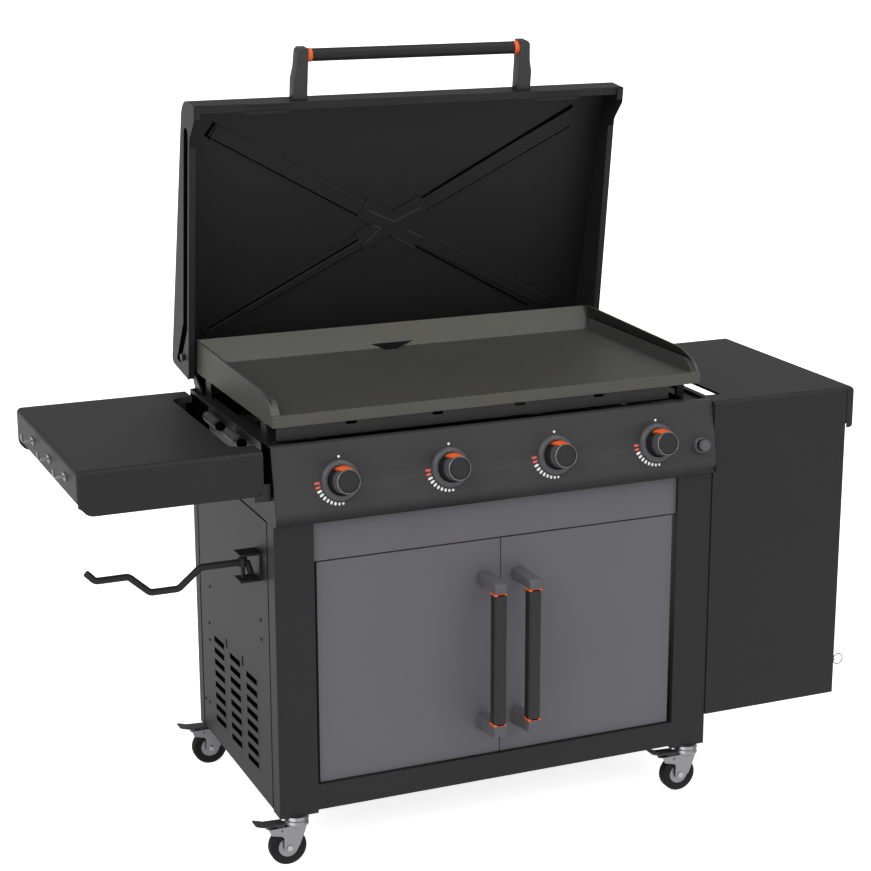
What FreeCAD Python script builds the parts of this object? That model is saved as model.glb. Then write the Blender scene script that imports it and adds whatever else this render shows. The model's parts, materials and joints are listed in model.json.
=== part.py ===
"""Outdoor gas griddle station: a cabinet on casters with a hinged lid, doors and side shelves.

Pieces are drawn in station coordinates, in millimetres: X runs to the right from the
middle of the cabinet, Y runs back from the face of the front legs, Z runs up from the
floor.  Every finished piece is then carried by the same shift, so that the origin of the
whole lies on the floor under the middle of its box.
"""
import FreeCAD, Part
import math
import os
import re

import Sketcher
from FreeCAD import Rotation, Vector

# Driving sizes in millimetres and degrees.
SIZES = {
    # Where the origin lies
    "reach_left": 868.0,
    "reach_right": 822.7,
    "reach_front": 79.0,
    "reach_back": 651.7,
    # Sheet metal
    "sheet": 1.2,
    "wall": 1.5,
    "plate": 5.0,
    "seam": 1.5,
    # Cabinet
    "half": 475.5,
    "cabinet_depth": 542.0,
    "leg_face": 80.0,
    "leg_return": 25.0,
    "front_flange": 42.0,
    "rear_flange": 30.0,
    "leg_foot": 100.0,
    "leg_top": 699.0,
    "foot_plate": 3.0,
    "side_foot": 104.0,
    "tab": 14.0,
    "beam_low": 106.5,
    "beam_high": 159.0,
    "floor_top": 157.0,
    "header_low": 620.0,
    "header_high": 698.0,
    "recess": 8.0,
    # Louvres in the side panels
    "louvre_long": 66.0,
    "louvre_high": 8.5,
    "louvre_drop": 6.0,
    "louvre_pitch": 25.5,
    "louvre_rows": 8,
    "louvre_low": 158.0,
    "louvre_first": 128.5,
    "louvre_step": 109.5,
    "hood": 9.0,
    # Firebox, burners and gas train
    "rim": 850.0,
    "deck": 843.0,
    "firebox_back": 536.0,
    "inner_front": 70.0,
    "deck_rim": 32.0,
    "tray": 735.0,
    "burner_level": 790.0,
    "burner_tube": 12.5,
    "burner_half": 45.0,
    "burner_front": 120.0,
    "burner_rear": 455.0,
    "manifold_y": 30.0,
    "manifold_z": 744.0,
    "manifold_tube": 9.0,
    "inlet_reach": 512.0,
    "inlet_radius": 7.9,
    # Control panel
    "panel_top_y": 10.9,
    "panel_top_z": 852.5,
    "panel_low_y": -17.0,
    "panel_low_z": 716.0,
    "panel_lean": 11.55,
    "knob_level": 779.0,
    "knob_step": 227.3,
    "igniter_x": 440.0,
    "igniter_level": 764.0,
    "bezel_radius": 40.0,
    "knob_radius": 23.5,
    "knob_long": 48.0,
    "skirt_radius": 27.5,
    "stem_radius": 4.0,
    "running": 0.06,
    # Griddle
    "griddle_half": 460.0,
    "griddle_front": 36.0,
    "griddle_back": 543.0,
    "griddle_top": 906.0,
    "griddle_skirt": 883.0,
    "splash_top": 952.0,
    "crease": 506.0,
    "cove": 12.0,
    "guard_left": -452.0,
    "guard_right": 390.0,
    "guard_foot": 856.0,
    "cup_left": -84.0,
    "cup_right": 28.0,
    "cup_front": 548.0,
    "cup_back": 600.0,
    "cup_low": 792.0,
    "cup_high": 846.0,
    "cup_ledge": 806.0,
    # Lid, drawn closed about its pivot: across, behind the pivot, above the pivot
    "lid_half": 479.0,
    "pivot_y": 563.0,
    "pivot_z": 912.0,
    "lid_open": 82.8,
    "lid_rim": -34.5,
    "lid_rear": 39.0,
    "lid_front": -547.6,
    "lid_back_top": 87.9,
    "lid_front_top": 19.9,
    "lid_chin": -65.7,
    "lid_lip": -60.0,
    "front_bend": 41.5,
    "rear_bend": 14.0,
    "groove": 30.0,
    "rim_lip": 13.5,
    "pin_radius": 5.0,
    "hinge_foot": 44.0,
    "hinge_eye": 12.0,
    "post_inner": 235.0,
    "post_outer": 257.5,
    "post_tip": -652.0,
    "grip_radius": 13.2,
    # Doors
    "door_outer": 388.0,
    "door_gap": 1.0,
    "door_low": 161.0,
    "door_high": 617.0,
    "door_deep": 18.0,
    "door_pivot_x": 381.0,
    "door_pivot_y": 15.0,
    "door_pin": 3.0,
    "handle_inner": 24.5,
    "handle_outer": 50.5,
    "handle_face": -79.0,
    "handle_top": 552.0,
    "handle_foot": 228.0,
    # Right shelf and tank cover
    "right_end": 815.0,
    "cover_edge": 793.0,
    "cover_foot": 166.0,
    "shelf_front": -2.0,
    "shelf_back": 516.0,
    "shelf_top": 849.2,
    "shelf_skirt": 87.2,
    "shelf_bend": 10.0,
    "flap_round": 14.0,
    "return_depth": 13.0,
    "slot_front": 58.0,
    "slot_back": 470.0,
    "latch_y": 6.0,
    "latch_z": 238.0,
    "latch_hole": 4.5,
    "ring_radius": 11.5,
    "ring_wire": 1.2,
    "tank_middle": 265.0,
    "tank_level": 473.0,
    # Left folding shelf
    "left_end": -844.0,
    "left_inner": -491.0,
    "left_front": 4.5,
    "left_back": 521.0,
    "left_skirt": 92.0,
    "end_skirt": 68.0,
    "notch": -537.0,
    "notch_bend": 24.0,
    "notch_lip": 12.0,
    "fold_x": -497.0,
    "fold_z": 763.0,
    "fold_pin": 4.0,
    "barrel_out": 13.0,
    "barrel_level": 831.0,
    "barrel_radius": 9.0,
    "hook_level": 816.5,
    # Swing arm
    "arm_x": -507.0,
    "arm_y": 100.0,
    "arm_low": 569.0,
    "arm_high": 626.0,
    "arm_rod": 5.0,
    "arm_level": 606.0,
    "arm_bend": 14.0,
    # Casters
    "caster_x": 438.5,
    "caster_front": 12.5,
    "caster_rear": 541.0,
    "wheel_radius": 37.5,
    "wheel_half": 11.5,
    "hub_radius": 9.5,
    "disc_radius": 21.0,
    "trail": 20.0,
    "axle_radius": 4.0,
    "king_radius": 4.5,
    "cup_radius": 24.5,
    "fork_top": 83.0,
    "fork_half": 16.2,
    "fork_gauge": 2.2,
    "rivet_back": 14.8,
    "rivet_z": 76.2,
    "rivet_radius": 3.2,
    "pedal_half": 15.0,
}

DOC = FreeCAD.newDocument("GriddleStation")
SHEET = DOC.addObject("Spreadsheet::Sheet", "Dims")
NODES = []


def fill_sheet():
    """Write each driving size into the sheet under its own alias."""
    for row, (word, size) in enumerate(SIZES.items(), start=1):
        SHEET.set(f"A{row}", word)
        SHEET.set(f"B{row}", str(size))
        SHEET.setAlias(f"B{row}", word)
    DOC.recompute()


def linked(size):
    """Turn the plain words of a size into references to the sheet."""
    def reference(found):
        word = found.group()
        return f"Dims.{word}" if word in SIZES else word
    return re.sub(r"[a-z_]+", reference, str(size))


def number(size):
    """Give the present value of a size in millimetres."""
    return float(SHEET.evalExpression(linked(size)))


def bind(item, prop, size):
    """Tie a property to a size, so that it follows the sheet."""
    item.setExpression(prop, linked(size))


def place(item, across, along, up):
    """Tie an object's place to sizes."""
    bind(item, "Placement.Base.x", across)
    bind(item, "Placement.Base.y", along)
    bind(item, "Placement.Base.z", up)


# Primitives and booleans

def slab(name, across, along, up):
    """A box between three pairs of sizes."""
    box = DOC.addObject("Part::Box", name)
    for prop, (low, high) in zip(("Length", "Width", "Height"), (across, along, up)):
        bind(box, prop, f"({high}) - ({low})")
    place(box, across[0], along[0], up[0])
    return box


TURNS = {
    "across": Rotation(Vector(0, 1, 0), 90),
    "along": Rotation(Vector(1, 0, 0), -90),
    "up": Rotation(),
}


def rod(name, way, start, radius, length):
    """A round bar from a start point along X, Y or Z."""
    bar = DOC.addObject("Part::Cylinder", name)
    bar.Placement.Rotation = TURNS[way]
    bind(bar, "Radius", radius)
    bind(bar, "Height", length)
    place(bar, *start)
    return bar


def fuse(name, *pieces):
    """Join pieces into one solid."""
    joined = DOC.addObject("Part::MultiFuse", name)
    joined.Shapes = list(pieces)
    joined.Refine = True
    return joined


def cut(name, base, *tools):
    """Take tools away from a base."""
    result = DOC.addObject("Part::Cut", name)
    result.Base = base
    result.Tool = tools[0] if len(tools) == 1 else fuse(f"{name}_tools", *tools)
    result.Refine = True
    return result


def common(name, *pieces):
    """Keep what pieces share."""
    shared = DOC.addObject("Part::MultiCommon", name)
    shared.Shapes = list(pieces)
    shared.Refine = True
    return shared


def group(name, *pieces):
    """Hold like pieces of one node together as separate solids."""
    held = DOC.addObject("Part::Compound", name)
    held.Links = list(pieces)
    return held


def mirrored(name, source):
    """The same piece on the other side of the middle plane."""
    other = DOC.addObject("Part::Mirroring", name)
    other.Source = source
    other.Normal = Vector(1, 0, 0)
    return other


# Bodies from sketches

def origin_item(body, role):
    """Find one of a body's own origin planes or axes."""
    return next(item for item in body.Origin.OriginFeatures if item.Role == role)


def stretch(sketch, first, last, bow):
    """Draw one side of an outline and tell which ends of it are its first and its last."""
    if bow is None:
        sketch.addGeometry(Part.LineSegment(first, last))
        return 1, 2
    row = sketch.addGeometry(Part.Arc(first, bow, last))
    ahead = (sketch.Geometry[row].StartPoint - first).Length < 0.001
    centre, chord = sketch.Geometry[row].Center, last - first
    kind, spot = ("DistanceX", centre.x) if abs(chord.y) > abs(chord.x) else ("DistanceY", centre.y)
    sketch.addConstraint(Sketcher.Constraint(kind, -1, 1, row, 3, spot))
    return (1, 2) if ahead else (2, 1)


def spot_at(corner):
    """The present place of a corner on its sketch."""
    return Vector(number(corner[0]), number(corner[1]), 0)


def outline(body, name, plane, corners, offset="0"):
    """A closed outline on an origin plane, each corner tied to two sizes.

    An entry with a third word isn't a corner: the side between its neighbours is an arc
    that bows through it.
    """
    sketch = body.newObject("Sketcher::SketchObject", name)
    sketch.AttachmentSupport = (origin_item(body, plane), [""])
    sketch.MapMode = "FlatFace"
    bind(sketch, "AttachmentOffset.Base.z", offset)
    places = [index for index, corner in enumerate(corners) if len(corner) == 2]
    ends = []
    for index, following in zip(places, places[1:] + places[:1]):
        between = corners[(index + 1) % len(corners)]
        bow = spot_at(between) if len(between) == 3 else None
        ends.append(stretch(sketch, spot_at(corners[index]), spot_at(corners[following]), bow))
    for side, (_, last) in enumerate(ends):
        following = (side + 1) % len(ends)
        sketch.addConstraint(Sketcher.Constraint("Coincident", side, last, following,
                                                 ends[following][0]))
    for side, index in enumerate(places):
        for kind, size in zip(("DistanceX", "DistanceY"), corners[index]):
            tie = Sketcher.Constraint(kind, -1, 1, side, ends[side][0], number(size))
            row = sketch.addConstraint(tie)
            bind(sketch, f"Constraints[{row}]", size)
    return sketch


SPANS = {"side": "YZ_Plane", "front": "XZ_Plane", "plan": "XY_Plane"}


def prism(name, view, corners, low, high):
    """A body padded from low to high across the view that its outline is drawn in."""
    body = DOC.addObject("PartDesign::Body", name)
    start = f"-({high})" if view == "front" else low
    sketch = outline(body, f"{name}_outline", SPANS[view], corners, start)
    pad = body.newObject("PartDesign::Pad", f"{name}_pad")
    pad.Profile = sketch
    bind(pad, "Length", f"({high}) - ({low})")
    return body


def turned(name, corners):
    """A body turned about its own Z axis from a half outline of radius and height."""
    body = DOC.addObject("PartDesign::Body", name)
    sketch = outline(body, f"{name}_outline", "XZ_Plane", corners)
    turn = body.newObject("PartDesign::Revolution", f"{name}_turn")
    turn.Profile = sketch
    turn.ReferenceAxis = (origin_item(body, "Z_Axis"), [""])
    turn.Angle = 360
    return body


def bent_wire(name, along, line, bend, radius):
    """A round wire along a line of corners in the front view, each corner bent to a radius."""
    body = DOC.addObject("PartDesign::Body", name)
    path = body.newObject("Sketcher::SketchObject", f"{name}_path")
    path.AttachmentSupport = (origin_item(body, "XZ_Plane"), [""])
    path.MapMode = "FlatFace"
    bind(path, "AttachmentOffset.Base.z", f"-({along})")
    corners = [spot_at(corner) for corner in line]
    start = corners[0]
    for before, corner, after in zip(corners, corners[1:], corners[2:]):
        inward, outward = (before - corner).normalize(), (after - corner).normalize()
        half = inward.getAngle(outward) / 2
        setback = number(bend) / math.tan(half)
        first, last = corner + inward * setback, corner + outward * setback
        depth = number(bend) / math.sin(half) - number(bend)
        middle = corner + (inward + outward).normalize() * depth
        path.addGeometry(Part.LineSegment(start, first))
        path.addGeometry(Part.Arc(first, middle, last))
        start = last
    path.addGeometry(Part.LineSegment(start, corners[-1]))
    section = body.newObject("Sketcher::SketchObject", f"{name}_section")
    section.AttachmentSupport = (origin_item(body, "YZ_Plane"), [""])
    section.MapMode = "FlatFace"
    bind(section, "AttachmentOffset.Base.z", line[0][0])
    centre = Vector(number(along), number(line[0][1]), 0)
    section.addGeometry(Part.Circle(centre, Vector(0, 0, 1), number(radius)))
    for kind, size in (("DistanceX", along), ("DistanceY", line[0][1])):
        row = section.addConstraint(Sketcher.Constraint(kind, -1, 1, 0, 3, number(size)))
        bind(section, f"Constraints[{row}]", size)
    row = section.addConstraint(Sketcher.Constraint("Radius", 0, number(radius)))
    bind(section, f"Constraints[{row}]", radius)
    pipe = body.newObject("PartDesign::AdditivePipe", f"{name}_pipe")
    pipe.Profile = section
    pipe.Spine = path
    return body


def near(value, target):
    """True where two lengths agree to a tenth of a millimetre."""
    return abs(value - target) < 0.1


def soften(body, radius, axis, spots):
    """Round the straight edges that run along an axis through the given spots."""
    DOC.recompute()
    others = [index for index in range(3) if index != "xyz".index(axis)]
    wanted = [tuple(number(size) for size in spot) for spot in spots]
    names = []
    base = body.Tip
    for index, edge in enumerate(base.Shape.Edges, start=1):
        first, last = edge.Vertexes[0].Point, edge.Vertexes[-1].Point
        steady = all(near(first[way], last[way]) for way in others)
        spot = [first[way] for way in others]
        if steady and any(near(spot[0], across) and near(spot[1], up) for across, up in wanted):
            names.append(f"Edge{index}")
    fillet = body.newObject("PartDesign::Fillet", f"{body.Name}_round")
    fillet.Base = (base, names)
    bind(fillet, "Radius", radius)
    body.Tip = fillet
    return body


def node(item, label):
    """Name a finished piece and carry it to the origin of the whole."""
    item.Label = label
    place(item, "(reach_left - reach_right) / 2", "-(reach_front * -1 + reach_back) / 2", "0")
    NODES.append(item)
    return item


# Cabinet frame

def front_leg():
    """A folded leg: a wide face, an outer flange and a short inner return."""
    inner = "-half + leg_face"
    corners = [("-half", "0"), (inner, "0"), (inner, "leg_return"),
               (f"{inner} - wall", "leg_return"), (f"{inner} - wall", "wall"),
               ("-half + wall", "wall"), ("-half + wall", "front_flange"),
               ("-half", "front_flange")]
    channel = prism("front_leg_channel", "plan", corners, "leg_foot", "leg_top")
    soften(channel, "2.5", "z", [("-half", "0")])
    foot = slab("front_leg_foot", ("-half + wall", f"{inner} - wall"),
                ("wall", "front_flange - wall"), ("leg_foot", "leg_foot + foot_plate"))
    return fuse("front_leg_left", channel, foot)


def rear_leg():
    """The rear leg, its wide face turned to the back."""
    inner = "-half + leg_face"
    back = "cabinet_depth"
    corners = [("-half", f"{back} - rear_flange"), ("-half + wall", f"{back} - rear_flange"),
               ("-half + wall", f"{back} - wall"), (f"{inner} - wall", f"{back} - wall"),
               (f"{inner} - wall", f"{back} - leg_return"), (inner, f"{back} - leg_return"),
               (inner, back), ("-half", back)]
    channel = prism("rear_leg_channel", "plan", corners, "leg_foot", "leg_top")
    soften(channel, "2.5", "z", [("-half", back)])
    foot = slab("rear_leg_foot", ("-half + wall", f"{inner} - wall"),
                (f"{back} - rear_flange", f"{back} + 4"), ("leg_foot", "leg_foot + foot_plate"))
    return fuse("rear_leg_left", channel, foot)


def legs():
    """Both pairs of legs."""
    for label, left in (("front_legs", front_leg()), ("rear_legs", rear_leg())):
        node(group(label, left, mirrored(f"{label}_right", left)), label)


def channel_rail(name, face, inside, low, high):
    """A rail between the legs, open to the inside: face and inside are places along Y."""
    skin = f"({face}) + wall" if number(face) < number(inside) else f"({face}) - wall"
    corners = [(face, low), (inside, low), (inside, f"{low} + wall"), (skin, f"{low} + wall"),
               (skin, f"{high} - wall"), (inside, f"{high} - wall"), (inside, high),
               (face, high)]
    return prism(name, "side", corners, "-half + leg_face", "half - leg_face")


def rails():
    """The bottom rails, and the brace across the back."""
    node(channel_rail("front_beam", "0", "30", "beam_low", "beam_high"), "front_beam")
    back = "cabinet_depth"
    low = channel_rail("rear_low_rail", back, f"{back} - 28", "beam_low", "beam_high")
    high = channel_rail("rear_high_rail", back, f"{back} - 20", "header_low", "header_high")
    node(group("rear_rails", low, high), "rear_rails")


def cabinet_floor():
    """The floor pan, its edges turned down onto the rails."""
    pan = slab("floor_pan", ("-half + leg_face", "half - leg_face"),
               ("30", "cabinet_depth - 28"), ("floor_top - 18", "floor_top"))
    under = slab("floor_under", ("-half + leg_face + wall", "half - leg_face - wall"),
                 ("30 + wall", "cabinet_depth - 28 - wall"),
                 ("floor_top - 19", "floor_top - wall"))
    wing = slab("floor_wing_left", ("-half + wall + hood + 2", "-half + leg_face"),
                ("front_flange", "cabinet_depth - rear_flange"),
                ("floor_top - wall", "floor_top"))
    whole = fuse("floor_whole", pan, wing, mirrored("floor_wing_right", wing))
    node(cut("cabinet_floor", whole, under), "cabinet_floor")


def louvred_panel(name):
    """A side panel with three columns of sloping slots, tabbed behind the legs."""
    front = "front_flange + seam"
    back = "cabinet_depth - rear_flange - seam"
    body = DOC.addObject("PartDesign::Body", f"{name}_sheet")
    corners = [(front, "side_foot"), (back, "side_foot"), (back, "leg_top - seam"),
               (front, "leg_top - seam")]
    sketch = outline(body, f"{name}_face", "YZ_Plane", corners, "-half")
    pad = body.newObject("PartDesign::Pad", f"{name}_pad")
    pad.Profile = sketch
    bind(pad, "Length", "wall")
    DOC.recompute()
    features = [louvre_hood(body, name, column) for column in range(3)]
    features += [louvre_row(body, name, column) for column in range(3)]
    pattern = body.newObject("PartDesign::LinearPattern", f"{name}_louvres")
    pattern.Originals = features
    pattern.Direction = (origin_item(body, "Z_Axis"), [""])
    pattern.Mode = "Spacing"
    bind(pattern, "Offset", "louvre_pitch")
    bind(pattern, "Occurrences", "louvre_rows")
    body.Tip = pattern
    DOC.recompute()
    for index, slit in enumerate(("222", "330")):
        corners = [(f"{slit} - 6", "345"), (f"{slit} - 1.5", "344"), (f"{slit} + 1", "363"),
                   (f"{slit} - 3.5", "364")]
        pocket(body, f"{name}_slit_{index}", corners)
    tabs = []
    for index, (low, high) in enumerate(((f"{front} - seam - tab", f"{front} + tab"),
                                         (f"{back} - tab", f"{back} + seam + tab"))):
        tabs.append(slab(f"{name}_tab_{index}", ("-half + wall", "-half + wall + sheet"),
                         (low, high), ("side_foot + 60", "leg_top - 40")))
    return fuse(name, body, *tabs)


def pocket(body, name, corners):
    """Cut an outline right through the side sheet."""
    sketch = outline(body, f"{name}_outline", "YZ_Plane", corners, "-half + wall")
    hole = body.newObject("PartDesign::Pocket", name)
    hole.Profile = sketch
    bind(hole, "Length", "wall")
    body.Tip = hole
    DOC.recompute()
    return hole


def louvre_hood(body, name, column):
    """The blade behind the lowest slot of one column, leaning in and up from its lower edge."""
    back = f"louvre_first + {column} * louvre_step + louvre_long"
    inner, low = "-half + wall", "louvre_low - louvre_high"
    corners = [(inner, low), (f"{inner} + hood", f"{low} + 2 * louvre_high + louvre_drop"),
               (f"{inner} + hood", f"{low} + 2 * louvre_high + louvre_drop + sheet * 2"),
               (inner, f"{low} + sheet * 2")]
    sketch = outline(body, f"{name}_hood_{column}_outline", "XZ_Plane", corners, f"-({back})")
    blade = body.newObject("PartDesign::Pad", f"{name}_hood_{column}")
    blade.Profile = sketch
    bind(blade, "Length", "louvre_long")
    body.Tip = blade
    DOC.recompute()
    return blade


def louvre_row(body, name, column):
    """The lowest slot of one column, sloping down towards the front."""
    front = f"louvre_first + {column} * louvre_step"
    back = f"{front} + louvre_long"
    corners = [(front, "louvre_low - louvre_high / 2"),
               (f"{front} + louvre_high * 0.8", "louvre_low - louvre_high * 0.7"),
               (back, "louvre_low + louvre_drop - louvre_high / 2"),
               (back, "louvre_low + louvre_drop + louvre_high / 2"),
               (f"{back} - louvre_high * 0.8", "louvre_low + louvre_drop + louvre_high * 0.7"),
               (front, "louvre_low + louvre_high / 2")]
    return pocket(body, f"{name}_louvre_{column}", corners)


def side_panels():
    """The louvred panels that close the cabinet's two ends."""
    left = louvred_panel("left_panel")
    node(left, "left_side_panel")
    node(mirrored("right_panel", louvred_panel("right_panel_source")), "right_side_panel")


def header_panel():
    """The fixed fascia between the doors and the control panel."""
    corners = [("recess", "header_low"), ("30", "header_low"), ("30", "header_low + sheet"),
               ("recess + sheet", "header_low + sheet"), ("recess + sheet", "header_high - sheet"),
               ("30", "header_high - sheet"), ("30", "header_high"), ("recess", "header_high")]
    fascia = prism("header_fascia", "side", corners, "-half + leg_face", "half - leg_face")
    node(fascia, "header_panel")


# Firebox, burners and gas train

def firebox():
    """Side walls with shaped front cheeks, a rear wall, an inner front wall and a deck rim."""
    low = "leg_top + seam / 3"
    cheek = [("panel_top_y", "rim"), ("panel_low_y", "panel_low_z"),
             ("panel_low_y + 2", "panel_low_z - 9"), ("panel_low_y + 9", "panel_low_z - 15"),
             ("2", low), ("firebox_back", low), ("firebox_back", "rim")]
    left = prism("firebox_side", "side", cheek, "-half", "-half + wall")
    inner = ("-half + wall", "half - wall")
    rear = slab("firebox_rear", inner, ("firebox_back - wall", "firebox_back"), (low, "rim"))
    front = slab("firebox_front", inner, ("inner_front", "inner_front + wall"),
                 ("tray", "deck"))
    lid = slab("firebox_deck", inner, ("panel_top_y + 2", "firebox_back - wall"),
               ("deck - wall", "deck"))
    mouth = slab("firebox_mouth", ("-half + deck_rim", "half - deck_rim"),
                 ("inner_front + wall + 4", "firebox_back - deck_rim"),
                 ("deck - wall - 1", "deck + 1"))
    tab = slab("firebox_tab", ("-half + wall", "-half + wall + sheet"),
               ("60", "firebox_back - wall"), (f"{low} - tab", f"{low} + tab"))
    right = mirrored("firebox_right", left)
    shell = fuse("firebox_shell", left, right, rear, front, lid,
                 tab, mirrored("firebox_tab_right", tab))
    ports = [rod(f"burner_port_{index}", "along", (knob_x(index), "inner_front - 1",
             "burner_level"), "14", "wall + 2") for index in range(4)]
    inlet = rod("inlet_port", "across", ("half - wall - 1", "manifold_y", "manifold_z"),
                "11", "wall + 2")
    node(cut("firebox", shell, mouth, inlet, *ports), "firebox")


def knob_x(index):
    """Where a knob, its valve and its burner stand across the station."""
    return f"knob_step * {index - 1.5}"


def heat_tray():
    """The tray under the burners with two raised rails that carry them."""
    pan = slab("tray_pan", ("-half + wall", "half - wall"),
               ("inner_front + wall", "firebox_back - wall"), ("tray", "tray + 12"))
    hollow = slab("tray_hollow", ("-half + 2 * wall", "half - 2 * wall"),
                  ("inner_front + 2 * wall", "firebox_back - 2 * wall"),
                  ("tray + sheet", "tray + 13"))
    rest = "burner_level - burner_tube"
    rails_up = [slab(f"tray_rail_{index}", ("-half + 2 * wall", "half - 2 * wall"),
                     (along, f"{along} + wall"), ("tray + sheet", rest))
                for index, along in enumerate(("burner_front + 40", "burner_rear - 40"))]
    dished = cut("tray_dished", pan, hollow)
    node(fuse("heat_tray", dished, *rails_up), "heat_tray")


def burner_tubes(name, across, shrink):
    """The tubes of one burner, all of them thinner by the same amount."""
    level = "burner_level"
    sides = [rod(f"{name}_side_{index}", "along",
                 (f"{across} {sign} burner_half", f"burner_front - 14 + {shrink}", level),
                 f"burner_tube - {shrink}", f"burner_rear - burner_front + 28 - 2 * {shrink}")
             for index, sign in enumerate("-+")]
    ends = [rod(f"{name}_end_{index}", "across",
                (f"{across} - burner_half - 4", along, level),
                f"burner_tube - 1 - {shrink}", "2 * burner_half + 8")
            for index, along in enumerate(("burner_front", "burner_rear"))]
    mixer = rod(f"{name}_mixer", "along", (across, f"inner_front - 12 - {shrink}", level),
                f"10 - {shrink}", f"burner_front - inner_front + 12 + {shrink}")
    return fuse(name, *sides, *ends, mixer)


def burner(index):
    """One hollow burner: a loop of tube fed by a mixing tube at the front."""
    across = knob_x(index)
    outside = burner_tubes(f"burner_skin_{index + 1}", across, "0")
    inside = burner_tubes(f"burner_bore_{index + 1}", across, "sheet")
    return cut(f"burner_{index + 1}", outside, inside)


def gas_train():
    """Burners, electrodes, the manifold with its inlet and one valve for each knob."""
    node(group("burners", *[burner(index) for index in range(4)]), "burners")
    rods = []
    for index in range(4):
        spot = (f"{knob_x(index)} + 16", "burner_front + 55", "tray + sheet")
        post = rod(f"electrode_post_{index}", "up", spot, "4", "38")
        wire = rod(f"electrode_wire_{index}", "up", (spot[0], spot[1], "tray + sheet + 38"),
                   "1.2", "22")
        rods.append(fuse(f"electrode_{index}", post, wire))
    node(group("electrodes", *rods), "igniter_electrodes")
    pipe = rod("manifold_pipe", "across", ("-(half - 90)", "manifold_y", "manifold_z"),
               "manifold_tube", "half * 2 - 130")
    neck = rod("manifold_neck", "across", ("half - 45", "manifold_y", "manifold_z"),
               "6", "inlet_reach - half + 30")
    fitting = rod("manifold_fitting", "across",
                  ("inlet_reach - 18", "manifold_y", "manifold_z"), "inlet_radius", "18")
    nut = rod("manifold_nut", "across", ("half + 3", "manifold_y", "manifold_z"), "10", "8")
    node(fuse("gas_manifold", pipe, neck, nut, fitting), "gas_manifold")
    node(group("gas_valves", *[gas_valve(index) for index in range(4)]), "gas_valves")


def panel_spot(across, level, out="0"):
    """A point on the sloping control panel, or out from it along its normal."""
    drop = f"(panel_top_z - {level})"
    along = f"panel_top_y - {drop} * tan(panel_lean) - ({out}) * cos(panel_lean)"
    return across, along, f"{level} + ({out}) * sin(panel_lean)"


def face_out(item, across, level, out="0"):
    """Stand a turned piece on the control panel, its own Z axis along the panel's normal."""
    item.Placement.Rotation = Rotation(Vector(1, 0, 0), 1)
    bind(item, "Placement.Rotation.Angle", "90 - panel_lean")
    place(item, *panel_spot(across, level, out))
    return item


def gas_valve(index):
    """A valve seated on the manifold: body, nozzle to the burner and the knob's stem."""
    name = f"valve_{index + 1}"
    across = knob_x(index)
    body = rod(f"{name}_body", "along", (across, "manifold_y - 9", "burner_level"), "9", "20")
    saddle = slab(f"{name}_saddle", (f"{across} - 8", f"{across} + 8"),
                  ("manifold_y - 8", "manifold_y + 8"),
                  ("manifold_z + manifold_tube", "burner_level"))
    nozzle = rod(f"{name}_nozzle", "along", (across, "manifold_y + 11", "burner_level"),
                 "4", "inner_front - 12 - manifold_y - 11")
    stem = DOC.addObject("Part::Cylinder", f"{name}_stem")
    bind(stem, "Radius", "stem_radius")
    bind(stem, "Height", "54")
    face_out(stem, across, "knob_level", "-30")
    return fuse(name, body, saddle, nozzle, stem)


# Control panel

def control_panel():
    """The sloping fascia: a folded sheet, rolled under at its foot and turned in on top."""
    top, low = "panel_top_y", "panel_low_y"
    corners = [(top, "panel_top_z"), (low, "panel_low_z"),
               (f"{low} + 2", "panel_low_z - 9"), (f"{low} + 9", "panel_low_z - 15"),
               ("2", "leg_top + 0.5"), ("2", "leg_top + 0.5 + sheet"),
               (f"{low} + 9.7", "panel_low_z - 15 + sheet"),
               (f"{low} + 3.3", "panel_low_z - 8.2"), (f"{low} + sheet", "panel_low_z"),
               (f"{top} + sheet - 0.4", "panel_top_z - sheet"),
               (f"{top} + 16", "panel_top_z - sheet"), (f"{top} + 16", "panel_top_z")]
    sheet = prism("fascia_sheet", "side", corners, "-half + wall", "half - wall")
    holes = []
    for index in range(4):
        hole = DOC.addObject("Part::Cylinder", f"stem_hole_{index}")
        bind(hole, "Radius", "stem_radius + 3")
        bind(hole, "Height", "12")
        holes.append(face_out(hole, knob_x(index), "knob_level", "-6"))
    hole = DOC.addObject("Part::Cylinder", "igniter_hole")
    bind(hole, "Radius", "7")
    bind(hole, "Height", "12")
    holes.append(face_out(hole, "igniter_x", "igniter_level", "-6"))
    node(cut("control_panel", sheet, *holes), "control_panel")


def bezels():
    """Domed rings round the knobs and the igniter button."""
    rings = []
    inner = "skirt_radius + 1"
    ring_profile = [(inner, "0"), ("bezel_radius", "0"), ("bezel_radius - 0.5", "4"),
                    ("bezel_radius - 3.5", "8"), ("bezel_radius - 8", "9.5"), (inner, "8")]
    for index in range(4):
        ring = turned(f"bezel_{index + 1}", ring_profile)
        rings.append(face_out(ring, knob_x(index), "knob_level"))
    collar = turned("igniter_collar", [("8.6", "0"), ("17", "0"), ("17", "5"), ("14.5", "9"),
                                       ("8.6", "9")])
    rings.append(face_out(collar, "igniter_x", "igniter_level"))
    node(group("knob_bezels", *rings), "knob_bezels")


def knobs():
    """Four knobs with a stepped skirt, a dished face and a bore for the valve stem."""
    bore = "stem_radius + running"
    profile = [(bore, "2.5"), ("skirt_radius", "2.5"), ("skirt_radius", "7"),
               ("knob_radius + 1", "11"), ("knob_radius", "knob_long - 2"),
               ("knob_radius - 2", "knob_long"), ("knob_radius - 3.5", "knob_long"),
               ("knob_radius - 4.5", "knob_long - 2"), ("0", "knob_long - 2"), ("0", "26"),
               (bore, "26")]
    for index in range(4):
        knob = turned(f"knob_body_{index + 1}", profile)
        face_out(knob, knob_x(index), "knob_level")
        node(group(f"knob_{index + 1}", knob), f"knob_{index + 1}")


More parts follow.
